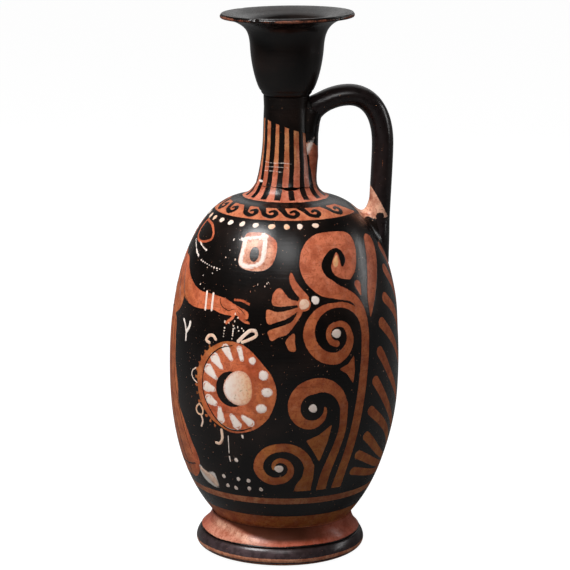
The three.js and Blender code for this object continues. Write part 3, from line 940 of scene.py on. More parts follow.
def paint_waves(painting):
    """Running waves that hang from the black ring round the shoulder."""
    middles = (43.5, 69.8, 90.1, 109.4, 128.0, 152.0, *np.linspace(173.0, 314.0, 8))
    hook = ((-6.0, 4.6), (-4.6, 1.2), (-3.4, -1.3), (0.2, -2.5), (2.5, -0.5), (1.0, 1.9), (-1.1, 1.0))
    widths = (4.0, 3.0, 2.6, 2.5, 2.4, 2.2, 1.7)
    painting.band(*WAVE_BAND)
    ring = painting.wall.length(painting.height) - painting.wall.length(WAVE_RING)
    painting.clay = np.minimum(painting.clay, -ring)
    for middle in middles:
        centre = (middle, 187.5)
        painting.line([painting.wall.at(centre, *spot) for spot in hook], widths, "black")
    ends = off_handle(painting.angle)
    slant = 3.2 * (painting.height - WAVE_BAND[0])
    painting.clay = np.minimum(painting.clay, (ends - 20 - slant) * 0.6)


# A window with a white frame, and a dish with white rays and a boss
WINDOW = (
    (124, 178), (117, 179), (109.7, 178.5), (103.3, 175.7), (102, 171.9), (103, 167.1), (105.3, 163.4),
    (109.4, 161.2), (114.5, 160.7), (119.9, 161.1), (123.8, 162.7), (125.3, 165.3), (125.2, 169.6),
    (125.1, 173.8),
)
WINDOW_HOLE = (115.8, 168.7)
WINDOW_BARS = (
    (((123.7, 175.4), (123.7, 169.7), (123.6, 164.5), (121, 162.9), (116.7, 162.8), (112.4, 164.2),
      (110.2, 166.6), (110, 170.5), (110, 175)), 2.3),
    (((126.4, 175.2), (120.4, 176.2), (115.2, 176.5), (110.1, 176.4)), 1.8),
    (((112.2, 178.2), (109.4, 177.2)), 2.0),
)
DISH_RIM = (
    (124.9, 124.5), (115.5, 122.2), (106, 112.5), (102, 106), (100.5, 99.5), (101.7, 92.3), (105.1, 84.8),
    (112.3, 78.7), (122.3, 76.2), (130.3, 78.9), (136.9, 83.2), (141.9, 90), (144, 98), (143.9, 107.2),
    (139.9, 115.5), (133.1, 121.6),
)
DISH_FRILL = (
    (136.6, 120.2), (141.6, 114), (144.6, 107), (145.2, 98.5), (143.2, 90), (138.6, 83), (133.4, 78.6),
)
DISH_LINE = (
    (123.2, 122.5), (130.4, 120.1), (136.3, 114.7), (139.7, 108), (140.6, 101), (139.8, 94.3),
    (136.6, 87.9), (132.4, 82.5), (126.2, 78.4), (119.1, 77.8), (112.8, 80.0),
)
DISH_DISC = (123.0, 99.6)
DISH_BOSS = (119.7, 100.4)
# Each ray: its inner and outer end, and its width there
DISH_RAYS = (
    ((123.6, 115.4), (126.9, 120.6), 2.0, 4.2),
    ((117.9, 116.0), (119.5, 121.4), 2.2, 2.4),
    ((128.7, 109.9), (133.2, 114.8), 1.6, 5.2),
    ((131.9, 104.1), (136.8, 108.2), 1.6, 5.4),
    ((133.6, 98.1), (138.0, 98.9), 2.6, 5.2),
    ((132.9, 90.8), (136.6, 92.4), 3.2, 4.8),
    ((130.0, 88.2), (129.4, 82.6), 2.4, 4.0),
    ((123.2, 85.2), (120.4, 80.8), 2.6, 4.6),
    ((117.2, 85.4), (113.4, 82.6), 2.4, 3.8),
)
DISH_DOTS = (
    ((112.6, 115.6), 1.8, 1.9), ((106.9, 108.3), 2.4, 2.5), ((105.1, 99.5), 2.8, 2.3),
    ((107.9, 90.7), 2.8, 2.3),
)


def paint_window(painting):
    painting.patch(WINDOW)
    painting.oval(WINDOW_HOLE, 2.5, 4.0, "black")
    for bar, width in WINDOW_BARS:
        painting.line(bar, width + 0.4, "white")
    painting.white = np.minimum(painting.white, 0.4)


def window_painted_highlight(angle, height):
    """A painted highlight: how much paler the clay inside the window is made, where the shoulder's gloss
    highlight falls.
    """
    return 0.85 * smooth(np.hypot(turn_from(angle, WINDOW_HOLE[0]), height - WINDOW_HOLE[1]), 14, 9)


def dish_tints(angle, height):
    """Ochre on the dish's rim and lower right, and red washed over two other parts of it."""
    right, up = body_wall.flat(DISH_DISC, angle, height)
    inside = smooth(np.hypot(right, up), 29, 27)
    rim = 0.8 * smooth(np.hypot(right, up), 18.5, 21.5) * smooth(right, 6, -4)
    ochre = np.maximum(rim, 0.7 * bell(right, 17, 5) * bell(up, -9, 9))
    red = bell(right, 11, 6) * bell(up, 13, 7) + bell(right, -9, 8) * bell(up, -11, 5)
    return ochre * inside, 0.85 * red * inside


def paint_dish(painting):
    painting.patch(DISH_RIM)
    for place in smooth_line(DISH_FRILL, 2):
        painting.oval(place, dice.uniform(0.4, 1.2), dice.uniform(0.7, 1.1))
    painting.oval(DISH_DISC, 9.6, 9.4, "black")
    for inner, outer, narrow, wide in DISH_RAYS:
        painting.line((inner, outer), (narrow + 0.5, wide + 0.8), "white")
    for place, right_half, up_half in DISH_DOTS:
        painting.oval(place, right_half + 0.3, up_half + 0.3, "white")


# The draped figure: mostly on the picture side, with its arm held out to the right
FIGURE_SKIRT = (
    (178, 130), (169.5, 129), (167.5, 117.7), (166.6, 107), (163.1, 93.9), (163.3, 84.8), (158.4, 77.1),
    (153.1, 66.6), (149, 56.3), (152.7, 48.2), (160.3, 44), (172, 43.8), (188, 43.8), (205, 46.4),
    (213, 52), (211, 72), (206.5, 96), (204.5, 116), (203, 130),
)
FIGURE_BUST = (
    (182, 160), (176, 156), (168, 146), (163.5, 142), (163.9, 137.2), (167.7, 133.2), (170.3, 132),
    (178, 127), (190, 124), (203, 127), (205.5, 140), (207, 152), (202, 160), (192, 162.5),
)
FIGURE_ARM = (
    (186, 163), (177.4, 161.6), (170.6, 160.7), (165.8, 156.7), (160.3, 152.7), (153.6, 149.2),
    (147.1, 147.2), (142.2, 147.1), (136.1, 146.7), (129.8, 145.9), (125.3, 144.2), (120.2, 142.1),
    (117.3, 141.1), (115.5, 139.2), (115.9, 136.8), (118.4, 136.5), (121.6, 138), (124.6, 137.8),
    (128.3, 137.7), (132.5, 138.3), (136.4, 139.2), (143.4, 138.6), (150.1, 138.4), (156.5, 139.4),
    (163, 142), (168, 146), (178, 150),
)
FIGURE_FINGERS = (
    (((123.6, 145.8), (119.6, 145.7), (115.6, 144.3)), 1.2),
    (((123.2, 138.6), (124.4, 136.4), (127.6, 133.6)), 1.5),
    (((120.4, 137.0), (117.2, 135.2), (115.0, 134.8)), 1.2),
)
FIGURE_HEAD = (
    (191.5, 162), (190.5, 165.5), (187, 166.2), (185.2, 167.6), (185.6, 169.4), (184.8, 171),
    (183.6, 172.8), (185.6, 176), (188, 180), (193, 183), (200, 182.5), (206, 178.5), (207.5, 172),
    (203.5, 167.5), (200.5, 165.5), (200, 161),
)
FIGURE_HAIR = (
    (188.5, 180.6), (190.2, 176.2), (194, 174), (197.2, 170.5), (199, 166.8), (203.5, 167.8), (207, 172),
    (205.6, 178), (200, 182), (193, 182.8),
)
FIGURE_BUN = ((206, 176), (211, 178.5), (214.5, 174.5), (212, 169.5), (206.5, 170.5))
FIGURE_LEFT_ARM = (((204.5, 154), (213, 142), (216, 131), (225, 126), (233, 127)), (9.0, 8.0, 6.6, 5.4, 3.0))
FIGURE_SHOE = (
    (149.7, 53.6), (144.7, 50.4), (138.8, 51.6), (137.4, 48.5), (137.7, 42.4), (143.2, 42.6), (148.4, 45.2),
    (150.8, 49.6),
)
LOOP = (
    (173.7, 180.2), (174.8, 175.2), (171.5, 171.4), (163.3, 170), (152.9, 172.1), (152.6, 175.3),
    (160.1, 178.8), (169.6, 179.8), (173.7, 180.2),
)
FOLDS = (
    (((171, 128), (169.4, 112), (167.6, 96), (161.5, 78), (154.5, 58)), 0.5),
    (((176, 128), (174.5, 108), (173, 86), (168, 66), (163, 47)), 0.6),
    (((184, 126), (182, 104), (182, 80), (180, 48)), 0.5),
    (((190, 125), (190, 100), (191, 74), (193, 48)), 0.6),
    (((196, 126), (198, 102), (200, 76), (204, 50)), 0.5),
    (((181, 157), (184, 146), (190, 140), (200, 138)), 0.5),
    (((186, 160), (189, 150), (196, 145), (204, 145)), 0.5),
    (((178, 134), (186, 131.5), (196, 131.5), (203.5, 134)), 0.9),
    (((172, 157), (169.2, 152.6), (165.8, 147.2), (162.2, 142.6), (157, 139.6)), 0.5),
    (((176, 152), (172.5, 145), (168.6, 139.5), (166.4, 135.4)), 0.45),
    (((156.4, 151.2), (153.4, 149.6), (151.2, 149.0)), 0.4),
    (((154, 53), (163, 51.2), (180, 50.2), (198, 50.8), (211, 55)), 0.9),
    (((132.7, 145.7), (132, 143.1), (130, 141.1), (126.8, 140.1), (123.6, 141.2)), 0.5),
    (((122.6, 142.8), (119.2, 140.6), (117.4, 138.6)), 0.4),
    (((121.8, 140.2), (120.0, 138.9)), 0.35),
)
FACE_LINES = (
    (((186.4, 173.7), (188.6, 174.8), (190.6, 174.2)), 0.5),
    (((186.6, 171.9), (188.4, 172.8), (190.2, 171.9)), 0.45),
    (((186.9, 171.4), (188.4, 171.0), (189.8, 171.5)), 0.35),
    (((185.9, 168.5), (187.6, 168.6)), 0.4),
)


def paint_figure(painting):
    for outline in (FIGURE_SKIRT, FIGURE_BUST, FIGURE_ARM, FIGURE_HEAD):
        painting.patch(outline)
    painting.patch(FIGURE_HAIR, "black")
    painting.patch(FIGURE_BUN)
    painting.line(*FIGURE_LEFT_ARM)
    for places, width in FIGURE_FINGERS:
        painting.line(places, width)
    painting.line(LOOP, 1.4)
    painting.patch(FIGURE_SHOE, "white")


def paint_body(angle, radius, height):
    painting = Painting(body_wall, angle, height)
    for side in SIDES:
        paint_scrolls(painting, side)
        paint_under_handle(painting, side)
    paint_window(painting)
    paint_dish(painting)
    paint_figure(painting)
    painting.clay = np.minimum(painting.clay, height - STEM_FOOT)
    paint_waves(painting)
    painting.band(*LOWER_BAND)
    painting.band(BODY_BASE - FAR, RESERVED_TOP)
    dish_ochre, dish_red = dish_tints(angle, height)
    collar = height > WAVE_BAND[1]
    shoulder = 0.55 * smooth(height, *SHOULDER_EDGE) * (1 - smooth(height, *COLLAR_EDGE))
    painting.clay = np.where(collar, tongues(angle, radius, height), painting.clay)
    inner = radius < body_wall.radius(height) - 1.5
    return {
        "clay": np.where(inner, FAR, painting.clay),
        "white": smooth(painting.white, -0.6, 0.9),
        "ochre": np.maximum(np.maximum(ochre_of(angle, height), dish_ochre), shoulder),
        "red": dish_red,
        "rose": np.clip(0.25 * smooth(height, 140, 155) + 0.55 * smooth(height, *COLLAR_EDGE), 0, 1),
        "pale": np.maximum(pale_of(angle, height), window_painted_highlight(angle, height)),
        "dark": dark_of(angle, height),
        "worn": 0.13,
    }


# Turned pieces
def crack_line(angle):
    """How far the broken edge round the neck's root wanders up and down."""
    turn = np.radians(angle)
    return 0.35 * np.sin(3 * turn + 0.6) + 0.2 * np.sin(7 * turn) + 0.12 * np.sin(17 * turn + 1.0)


def crack_gap(angle):
    """Half the opening of the broken line, widest on the side that the camera sees."""
    opened = bell(turn_from(angle, 88), 0, 19)
    nick = bell(turn_from(angle, 139), 0, 8)
    return 0.08 + 0.95 * opened + 0.32 * nick


def body_shape(angle, radius, height):
    outer = radius > body_wall.radius(height) - 0.5
    edge = smooth(height, BODY_TOP - 2.5, BODY_TOP)
    middle = (NECK_BASE - BODY_TOP) / 2
    lowered = height + edge * (middle + crack_line(angle) - crack_gap(angle))
    lowered = lowered - waist_drop(angle) * smooth(height, 45, BODY_BASE)
    ridge = 0.3 * bell(height, WAVE_BAND[1], 0.5) * outer
    return radius + body_wave(angle, height) + ridge, lowered


def neck_shape(angle, radius, height):
    edge = smooth(height, NECK_BASE + 2.5, NECK_BASE)
    middle = (NECK_BASE - BODY_TOP) / 2
    lean = NECK_LEAN * (1 - fullness(angle)) * smooth(height, 236, 215)
    return radius - lean, height + edge * (crack_line(angle) + crack_gap(angle) - middle)


NECK_SCRATCHES = (
    (((152, 210.6), (128, 210.3), (106, 210.6), (86, 210.2)), 0.55),
    (((150, 208.0), (120, 208.4), (92, 208.2)), 0.45),
    (((152, 205.8), (128, 206.2), (104, 205.9)), 0.55),
)


def paint_neck(angle, radius, height):
    painting = Painting(neck_wall, angle, height)
    for places, width in NECK_SCRATCHES:
        painting.line(places, width, "white")
    painting.oval((156, 200.2), 2.3, 0.8, "white")
    clay = np.minimum(tongues(angle, radius, height), neck_black_edge(angle) - height)
    inner = radius < neck_wall.radius(height) - 1.5
    beside = smooth(off_handle(angle), 78, 58) * smooth(height, 226, 216)
    return {
        "clay": np.where(inner, -FAR, clay),
        "white": smooth(painting.white, -0.6, 0.9),
        "ochre": smooth(height, 203, 214) * (1 - beside),
        "rose": np.maximum(0.7 * smooth(height, 213, 201), 0.9 * beside),
        "pale": 0.18 + 0.16 * beside,
        "worn": 0.12 * smooth(height, 212, 200),
    }


def lip_chip(angle, radius):
    chips = bell(turn_from(angle, 126), 0, 2.6) + 0.7 * bell(turn_from(angle, 231), 0, 2.0)
    return chips * smooth(radius, LIP_RADIUS - 2.2, LIP_RADIUS)


def mouth_shape(angle, radius, height):
    groove = 0.35 * bell(height, MOUTH_BASE + 2.1, 0.45) * (radius < BELL_RADIUS)
    chip = lip_chip(angle, radius)
    sag = LIP_SAG * (1 - fullness(angle)) * smooth(radius, 17, 26)
    return radius - groove - chip, height - 0.5 * chip - sag


def paint_mouth(angle, radius, height):
    turn = np.radians(angle)
    waver = 0.12 * np.sin(5 * turn) + 0.10 * np.sin(11 * turn + 2) + 0.08 * np.sin(29 * turn)
    edge = np.minimum(radius - LIP_RADIUS + 0.08 + waver, 0.06)
    return {
        "clay": np.where(height > UNDER_LIP - 1.2, edge, -FAR),
        "rose": 0.7,
        "pale": 0.3,
        "dark": 0.72,
        "worn": 0.15 * smooth(radius, LIP_RADIUS - 1.2, LIP_RADIUS) + 0.25 * lip_chip(angle, radius + 1.0),
    }


def foot_shape(angle, radius, height):
    sag = waist_drop(angle) * smooth(height, GROOVE_TOP, FOOT_HEIGHT)
    return radius - foot_lack(angle, radius), height - sag


# Bands are painted on the foot below this height, and its cheek is bare above
FOOT_SPLIT = 9.0


def paint_foot(angle, radius, height):
    turn = np.radians(angle)
    waver = 0.25 * np.sin(3 * turn + 0.4) + 0.2 * np.sin(8 * turn)
    cheek = height - GROOVE_TOP - 0.35 + 0.5 * waver
    band = 1.0 - np.abs(height - 4.5 - 0.4 * waver)
    line = 0.5 - np.abs(height - 2.0 - 0.3 * waver)
    base = np.maximum(band, line)
    # Painted shadow of the body over the upper cheek; on the left its edge lies higher, so less of the cheek
    # is in it
    front = smooth(turn_from(angle, 100), 0, 55)
    limit = GROOVE_TOP + 1.0 + 6.0 * front
    painted_body_shadow = smooth(height, limit, limit + 2.5) * smooth(np.abs(turn_from(angle, 95)), 120, 80)
    aside = np.abs(turn_from(angle, 140))
    # Below that edge, on the left, the lit cheek is painted paler: rubbed clay with a painted highlight
    rubbed_and_highlight = (1 - painted_body_shadow) * smooth(aside, 45, 15)
    # A painted highlight along the edge of the painted shadow
    streak = bell(height, limit - 1.0, 1.5) * smooth(aside, 34, 12)
    glint = bell(turn_from(angle, 122), 0, 30)
    return {
        "clay": np.where(height > FOOT_SPLIT, cheek, base),
        # Thin, worn gloss on the torus, with a painted sheen that is strongest towards its front
        "thin": (0.28 + 0.42 * glint) * smooth(height, 10.6, 9.4),
        "ochre": 0.7 * smooth(height, FOOT_SPLIT, 4),
        "rose": smooth(height, FOOT_SPLIT, 12),
        # Painted highlights on the lit cheek; below the split, paler clay of the base bands
        "pale": np.where(height > FOOT_SPLIT, 0.47 * rubbed_and_highlight + 0.55 * streak * (1 - painted_body_shadow), 0.45),
        # The painted shadow of the body darkens the cheek
        "dark": mixed(0.3, 0.93, smooth(turn_from(angle, 45), 0, 40)) * painted_body_shadow,
        "worn": 0.10 * smooth(height, 4, 7) * smooth(height, 12, 10),
    }


def paint_bond(angle, radius, height):
    opened = bell(turn_from(angle, 84), 0, 20)
    nick = bell(turn_from(angle, 139), 0, 9)
    return {"open": 0.55 + opened - 1.2 * nick}


def ring_loop(inside, outside, low, high):
    rounding = (high - low) * 0.3
    flat = outside - rounding
    edge = [(flat, low), (outside, low + rounding), (outside, high - rounding), (flat, high)]
    return [(inside, low), *edge, (inside, high), (inside, low)]


def make_foot():
    recess = curve((0, FOOT_RECESS_DEPTH), ((FOOT_RECESS_RADIUS, 0), (0.6, 0), (0.9, 0.3), 16))
    loop = joined(recess, FOOT_OUTLINE, (0, FOOT_HEIGHT))
    piece = turned_piece("foot_turned", loop, vase_slip, foot_shape, paint_foot, SMALL_COLUMNS)
    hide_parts("foot")


def make_body():
    outer = respaced(BODY_WALL_LINE, ROW_STEP)
    cavity = respaced(inset(BODY_OUTLINE, BODY_WALL), CAVITY_STEP)
    cavity = cavity[(cavity[:, 1] > BODY_FLOOR) & (cavity[:, 1] < BODY_TOP - 3)][::-1]
    bore = (COLLAR_RADIUS - NECK_WALL, BODY_TOP)
    loop = joined((0, BODY_BASE), outer, bore, cavity, (0, BODY_FLOOR))
    piece = turned_piece("body_painted", loop, vase_slip, body_shape, paint_body)
    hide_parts("body")


def make_neck():
    outer = respaced(NECK_OUTLINE, NECK_STEP)
    bore = respaced(NECK_OUTLINE, BORE_STEP)[::-1] - (NECK_WALL, 0)
    loop = joined(outer, bore, outer[0])
    piece = turned_piece("neck_painted", loop, vase_slip, neck_shape, paint_neck, NECK_COLUMNS)
    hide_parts("neck")


def make_mouth():
    inner = BELL_RADIUS - MOUTH_WALL
    bore = NECK_TOP_RADIUS - NECK_WALL
    bulge = LIP_RADIUS + 0.16
    lip_over = (LIP_RADIUS - LIP_ROUND, LIP_EDGE + 0.25)
    crown = (LIP_CROWN_RADIUS - 0.9, MOUTH_TOP)
    fall = (LIP_FALL_RADIUS, MOUTH_TOP - LIP_FALL)
    outer = respaced(MOUTH_OUTLINE, MOUTH_STEP)
    edge = bezier(LIP_UNDER, (bulge, UNDER_LIP + 0.2), (bulge, LIP_EDGE), lip_over, 8)
    lip = bezier(
        lip_over,
        (mixed(LIP_RADIUS, LIP_CROWN_RADIUS, 0.5), MOUTH_TOP),
        (LIP_CROWN_RADIUS, MOUTH_TOP),
        crown,
        10,
    )
    dish = bezier(
        crown,
        (LIP_CROWN_RADIUS - 3.0, MOUTH_TOP - LIP_FALL * 0.1),
        (LIP_FALL_RADIUS + 2.4, MOUTH_TOP - LIP_FALL * 0.65),
        fall,
        8,
    )
    funnel = bezier(
        fall,
        (inner, MOUTH_TOP - LIP_FALL * 2),
        (inner, mixed(BELL_TOP, MOUTH_TOP, 0.4)),
        (inner, BELL_TOP),
        20,
    )
    bowl = curve((inner, BELL_TOP), ((bore, MOUTH_BASE), (0, 0.45), (1, 0.6), 20))
    loop = joined(outer, edge, lip, dish, funnel, bowl, outer[0])
    piece = turned_piece("mouth_turned", loop, vase_slip, mouth_shape, paint_mouth, SMALL_COLUMNS)
    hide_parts("mouth")


def make_joints():
    low, high = underside("foot_slip"), top("foot_slip")
    seam = [(0, low), (WAIST_RADIUS - 0.45, low), (WAIST_RADIUS - 0.35, mixed(low, high, 0.5)),
            (WAIST_RADIUS - 0.45, high), (0, high)]
    plain = {"clay": FAR, "ochre": 0.6, "rose": 0.3}

    def sagged(angle, radius, height):
        return radius - foot_lack(angle, radius), height - waist_drop(angle)

    piece = turned_piece("foot_slip_seam", seam, vase_slip, sagged, lambda *place: plain, SMALL_COLUMNS)
    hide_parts("foot_slip")

    black = {"clay": -FAR, "worn": 0.05}
    low, high = underside("mouth_slip"), top("mouth_slip")
    loop = ring_loop(NECK_TOP_RADIUS - NECK_WALL, NECK_TOP_RADIUS - 0.12, low, high)
    piece = turned_piece("mouth_slip_seam", loop, vase_slip, None, lambda *place: black, SMALL_COLUMNS)
    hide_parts("mouth_slip")

    def follow(angle, radius, height):
        return radius, height + crack_line(angle)

    low, high = underside("neck_bond"), top("neck_bond")
    loop = ring_loop(COLLAR_RADIUS - NECK_WALL, COLLAR_RADIUS - 1.1, low, high)
    piece = turned_piece("neck_bond_fill", loop, fill, follow, paint_bond, SMALL_COLUMNS)
    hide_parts("neck_bond")


# Handle and the clay worked round its roots
STRAP_SIDES = 40
ROOT_SINK = 2.5
ROOT_SPLIT = 205
OUTSIDE = joined(BODY_OUTLINE, NECK_OUTLINE, MOUTH_OUTLINE)
SHOULDER = BODY_OUTLINE[BODY_OUTLINE[:, 1] >= BODY_WIDEST][::-1]


def outside_radius(height):
    return np.interp(height, OUTSIDE[:, 1], OUTSIDE[:, 0])


def shoulder_height(radius):
    return np.interp(radius, *SHOULDER.T)


def strap_line():
    seat = shoulder_height(SHOULDER_REACH)
    rise = bezier(
        (NECK_RADIUS - 2.0, ROOT_HEIGHT - NECK_WALL * 0.1),
        (mixed(NECK_RADIUS, CREST_REACH, 0.22), mixed(ROOT_HEIGHT, STRAP_CREST, 0.58)),
        (mixed(NECK_RADIUS, CREST_REACH, 0.60), STRAP_CREST),
        (CREST_REACH, STRAP_CREST),
        40,
    )
    turn = curve((CREST_REACH, STRAP_CREST), ((LIMB_REACH, FULL_REACH), (0.563, 0), (1, 0.34), 40))
    fall = bezier(
        (LIMB_REACH, FULL_REACH),
        (LIMB_REACH, mixed(FULL_REACH, seat, 0.3)),
        (SHOULDER_REACH, mixed(FULL_REACH, seat, 0.72)),
        (SHOULDER_REACH, seat - 12),
        60,
    )
    return respaced(joined(rise, turn, fall), 1.4)


def seated(points):
    """Ends what is inside the vase a little way under its outer surface."""
    points = points.copy()
    radius = np.hypot(points[:, 0], points[:, 1])
    low = points[:, 2] < 200
    floor = shoulder_height(np.clip(radius, SHOULDER_TURN_RADIUS, BODY_RADIUS)) - ROOT_SINK
    points[:, 2] = np.where(low, np.maximum(points[:, 2], floor), points[:, 2])
    least = outside_radius(points[:, 2]) - ROOT_SINK
    share = np.where(low, 1.0, np.maximum(1.0, least / np.maximum(radius, 0.1)))
    points[:, :2] *= share[:, None]
    return points


def oval(centre, direction, across, along, sides=STRAP_SIDES):
    turn = np.arange(sides) * 2 * np.pi / sides
    ring = np.outer(along * np.cos(turn), direction) + centre
    ring[:, 0] += across * np.sin(turn)
    return ring


def strap_half(height):
    """Half the strap's width and thickness on its outer limb, which grows towards the shoulder."""
    seat = shoulder_height(SHOULDER_REACH)
    root = 2.0 * smooth(height, seat + 14, seat)
    return STRAP_WIDTH / 2 + root, STRAP_THICKNESS / 2 + root * 0.1


def strap_rings():
    line = strap_line()
    rings = []
    for i, ((reach, height), (run, rise)) in enumerate(zip(line, tangents(line))):
        root = 1.6 * smooth(float(i), 9, 0)
        across, thick = strap_half(height if i > len(line) / 2 else STRAP_CREST)
        centre = np.array([0, reach, height])
        rings.append(oval(centre, np.array([0, -rise, run]), across - root * 0.5, thick + root))
    shape = np.array(rings)
    return seated(shape.reshape(-1, 3)).reshape(shape.shape)


def root_clay(reach, height):
    """Depth in the bare clay at the handle's lower root, alike on the strap and on the clay round it."""
    inside = 0.87 * (43.2 + 0.56 * (199.5 - height) - reach)
    blob = 2.2 - np.hypot(reach - 49.4, height - 180.6)
    lower = height - 179.6 + 0.9 * np.sin(reach * 0.55)
    return np.clip(np.minimum(np.minimum(inside, lower), -blob), -FAR, FAR)


def paint_handle(points):
    across, reach, height = points.T
    limb = height < ROOT_SPLIT
    streak = 0.15 * np.sin(height * 0.7) - 0.05 - np.abs(reach - LIMB_REACH + 1.0)
    streak = np.where((height > ROOT_SPLIT) & (height < 227) & (across > 4), streak, -FAR)
    return {
        "clay": np.where(limb, root_clay(reach, height), np.clip(streak, -FAR, FAR)),
        "ochre": 0.7,
        "pale": 0.92 * limb,
        # A painted sheen on the handle's black gloss, through the thin-gloss tint
        "thin": 0.10,
        "worn": 0.07 * smooth(np.abs(across), 5.5, 7.5),
    }


def make_handle():
    piece = lofted_piece("handle_strap", strap_rings(), vase_slip, paint_handle)
    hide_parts("handle")


def make_shoulder_pad():
    """Clay drawn up round the lower root: high on the inner side, a low fillet elsewhere."""
    sides = 48
    steps = 14
    fall = strap_line()
    fall = fall[fall[:, 1].argmax():][::-1]
    turn = np.arange(sides) * 2 * np.pi / sides
    direction = np.column_stack([np.sin(turn), np.cos(turn)])
    inward = (1 - np.cos(turn)) / 2
    rise = 2.6 + 16.4 * inward**1.6
    spread = 1.6 + 7.6 * inward**1.4

    def strap_edge(height):
        across, thick = strap_half(height)
        return 1 / np.hypot(direction[:, 0] / across, direction[:, 1] / thick)

    middle = np.array([0, SHOULDER_REACH])
    edge = strap_edge(shoulder_height(SHOULDER_REACH))
    inner = middle + direction * edge[:, None]
    outer = middle + direction * (edge + spread)[:, None]
    wall_in = shoulder_height(np.hypot(*inner.T))
    rings = []
    for share in np.linspace(0, 1, steps):
        rest = 1 - share
        on_strap = rest**3 + 3 * rest**2 * share
        away = spread * (1.35 * rest * share**2 + share**3)
        raised = rise * (rest**3 + 0.75 * rest**2 * share) - 0.15 * share**3
        high = wall_in + raised
        reach = mixed(SHOULDER_REACH, np.interp(high, fall[:, 1], fall[:, 0]), on_strap)
        flat = direction * (mixed(edge, strap_edge(high) - 0.45, on_strap) + away)[:, None]
        place = np.column_stack([flat[:, 0], flat[:, 1] + reach])
        height = mixed(shoulder_height(np.hypot(*place.T)) + raised, high, on_strap)
        rings.append(np.column_stack([place, height]))
    under = mixed(inner, outer, 0.5)
    rings.append(np.column_stack([under, shoulder_height(np.hypot(*under.T)) - ROOT_SINK]))
    heart = rings[0].mean(axis=0)
    rings.insert(0, mixed(rings[0], heart, 0.4) - (0, 0, 1.0))

    def paint(points):
        _, reach, height = points.T
        return {
            "clay": root_clay(reach, height),
            "ochre": 0.7,
            "pale": 0.92,
            "worn": 0.10,
        }

    piece = lofted_piece("handle_shoulder_root", rings[::-1], vase_slip, paint)
    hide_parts("handle_shoulder_pad")


# The clay under the upper root, by height: half its width, and how far it stands proud of the neck
PAD_LOW, PAD_HIGH = 197.5, 241.5
PAD_HALF = ((PAD_LOW, 205, 215, 226, 236, PAD_HIGH), (5.0, 8.4, 9.8, 9.4, 7.4, 6.6))
PAD_PROUD = ((PAD_LOW, 205, 212, 224, 230, 236, PAD_HIGH), (-0.2, 1.8, 3.4, 4.4, 5.5, 7.4, 3.0))
PAD_SINK = 1.2
PAD_ROWS = 67
PAD_COLUMNS = 29


def paint_neck_pad(points):
    x, y, height = points.T
    angle = np.degrees(np.arctan2(x, y))
    beside = np.abs(angle)
    waver = np.sin(height * 0.35 + angle * 0.2)
    edge = 217.3 + 0.09 * beside + 0.5 * waver - height
    streak = 0.24 * np.abs(beside - 40) - smooth(height, 219, 211) + 0.2 * waver
    thin = 0.26 * np.abs(beside - 15) - 0.5 * smooth(height, 215, 206) + 0.2 * waver
    # A rubbed, paler patch on the bulge of the root, with a painted highlight on it, given in white and pale
    lean = 36 + 1.6 * (219 - height)
    rubbed_and_highlight = bell(angle, lean, 7) * bell(height, 218.4, 5.2)
    return {
        "white": 0.84 * rubbed_and_highlight,
        "clay": np.clip(np.minimum(edge, np.minimum(streak, thin)), -FAR, FAR),
        "ochre": 0.6 * smooth(beside, 42, 34),
        "rose": 0.7,
        "pale": np.maximum(0.12 * smooth(beside, 36, 44), 0.9 * rubbed_and_highlight),
        "worn": 0.12,
    }


def make_neck_pad():
    """Clay smeared down the neck under the upper root."""
    across = np.linspace(-1, 1, PAD_COLUMNS)
    back = across[::-7][1:-1]
    rings = []
    for height in np.linspace(PAD_LOW, PAD_HIGH, PAD_ROWS):
        radius = float(neck_wall.radius(height))
        bend = np.interp(height, *PAD_HALF) / radius
        steep = mixed(1.1, 0.6, smooth(height, 214, 226))
        lift = np.interp(height, *PAD_PROUD) * (1 - across**2) ** steep - 0.3 * across**8
        reach = np.concatenate([radius + lift, np.full(len(back), radius - PAD_SINK)])
        turn = np.concatenate([across, back]) * bend
        level = np.full(len(turn), height)
        rings.append(np.column_stack([reach * np.sin(turn), reach * np.cos(turn), level]))
    piece = lofted_piece("handle_neck_root", rings, vase_slip, paint_neck_pad)
    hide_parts("handle_neck_pad")


# Added white paint, and the fine black relief lines of the drawing
WHITE_LIFT = 0.08
LINE_LIFT = 0.10
ON_CLAY = 1.0
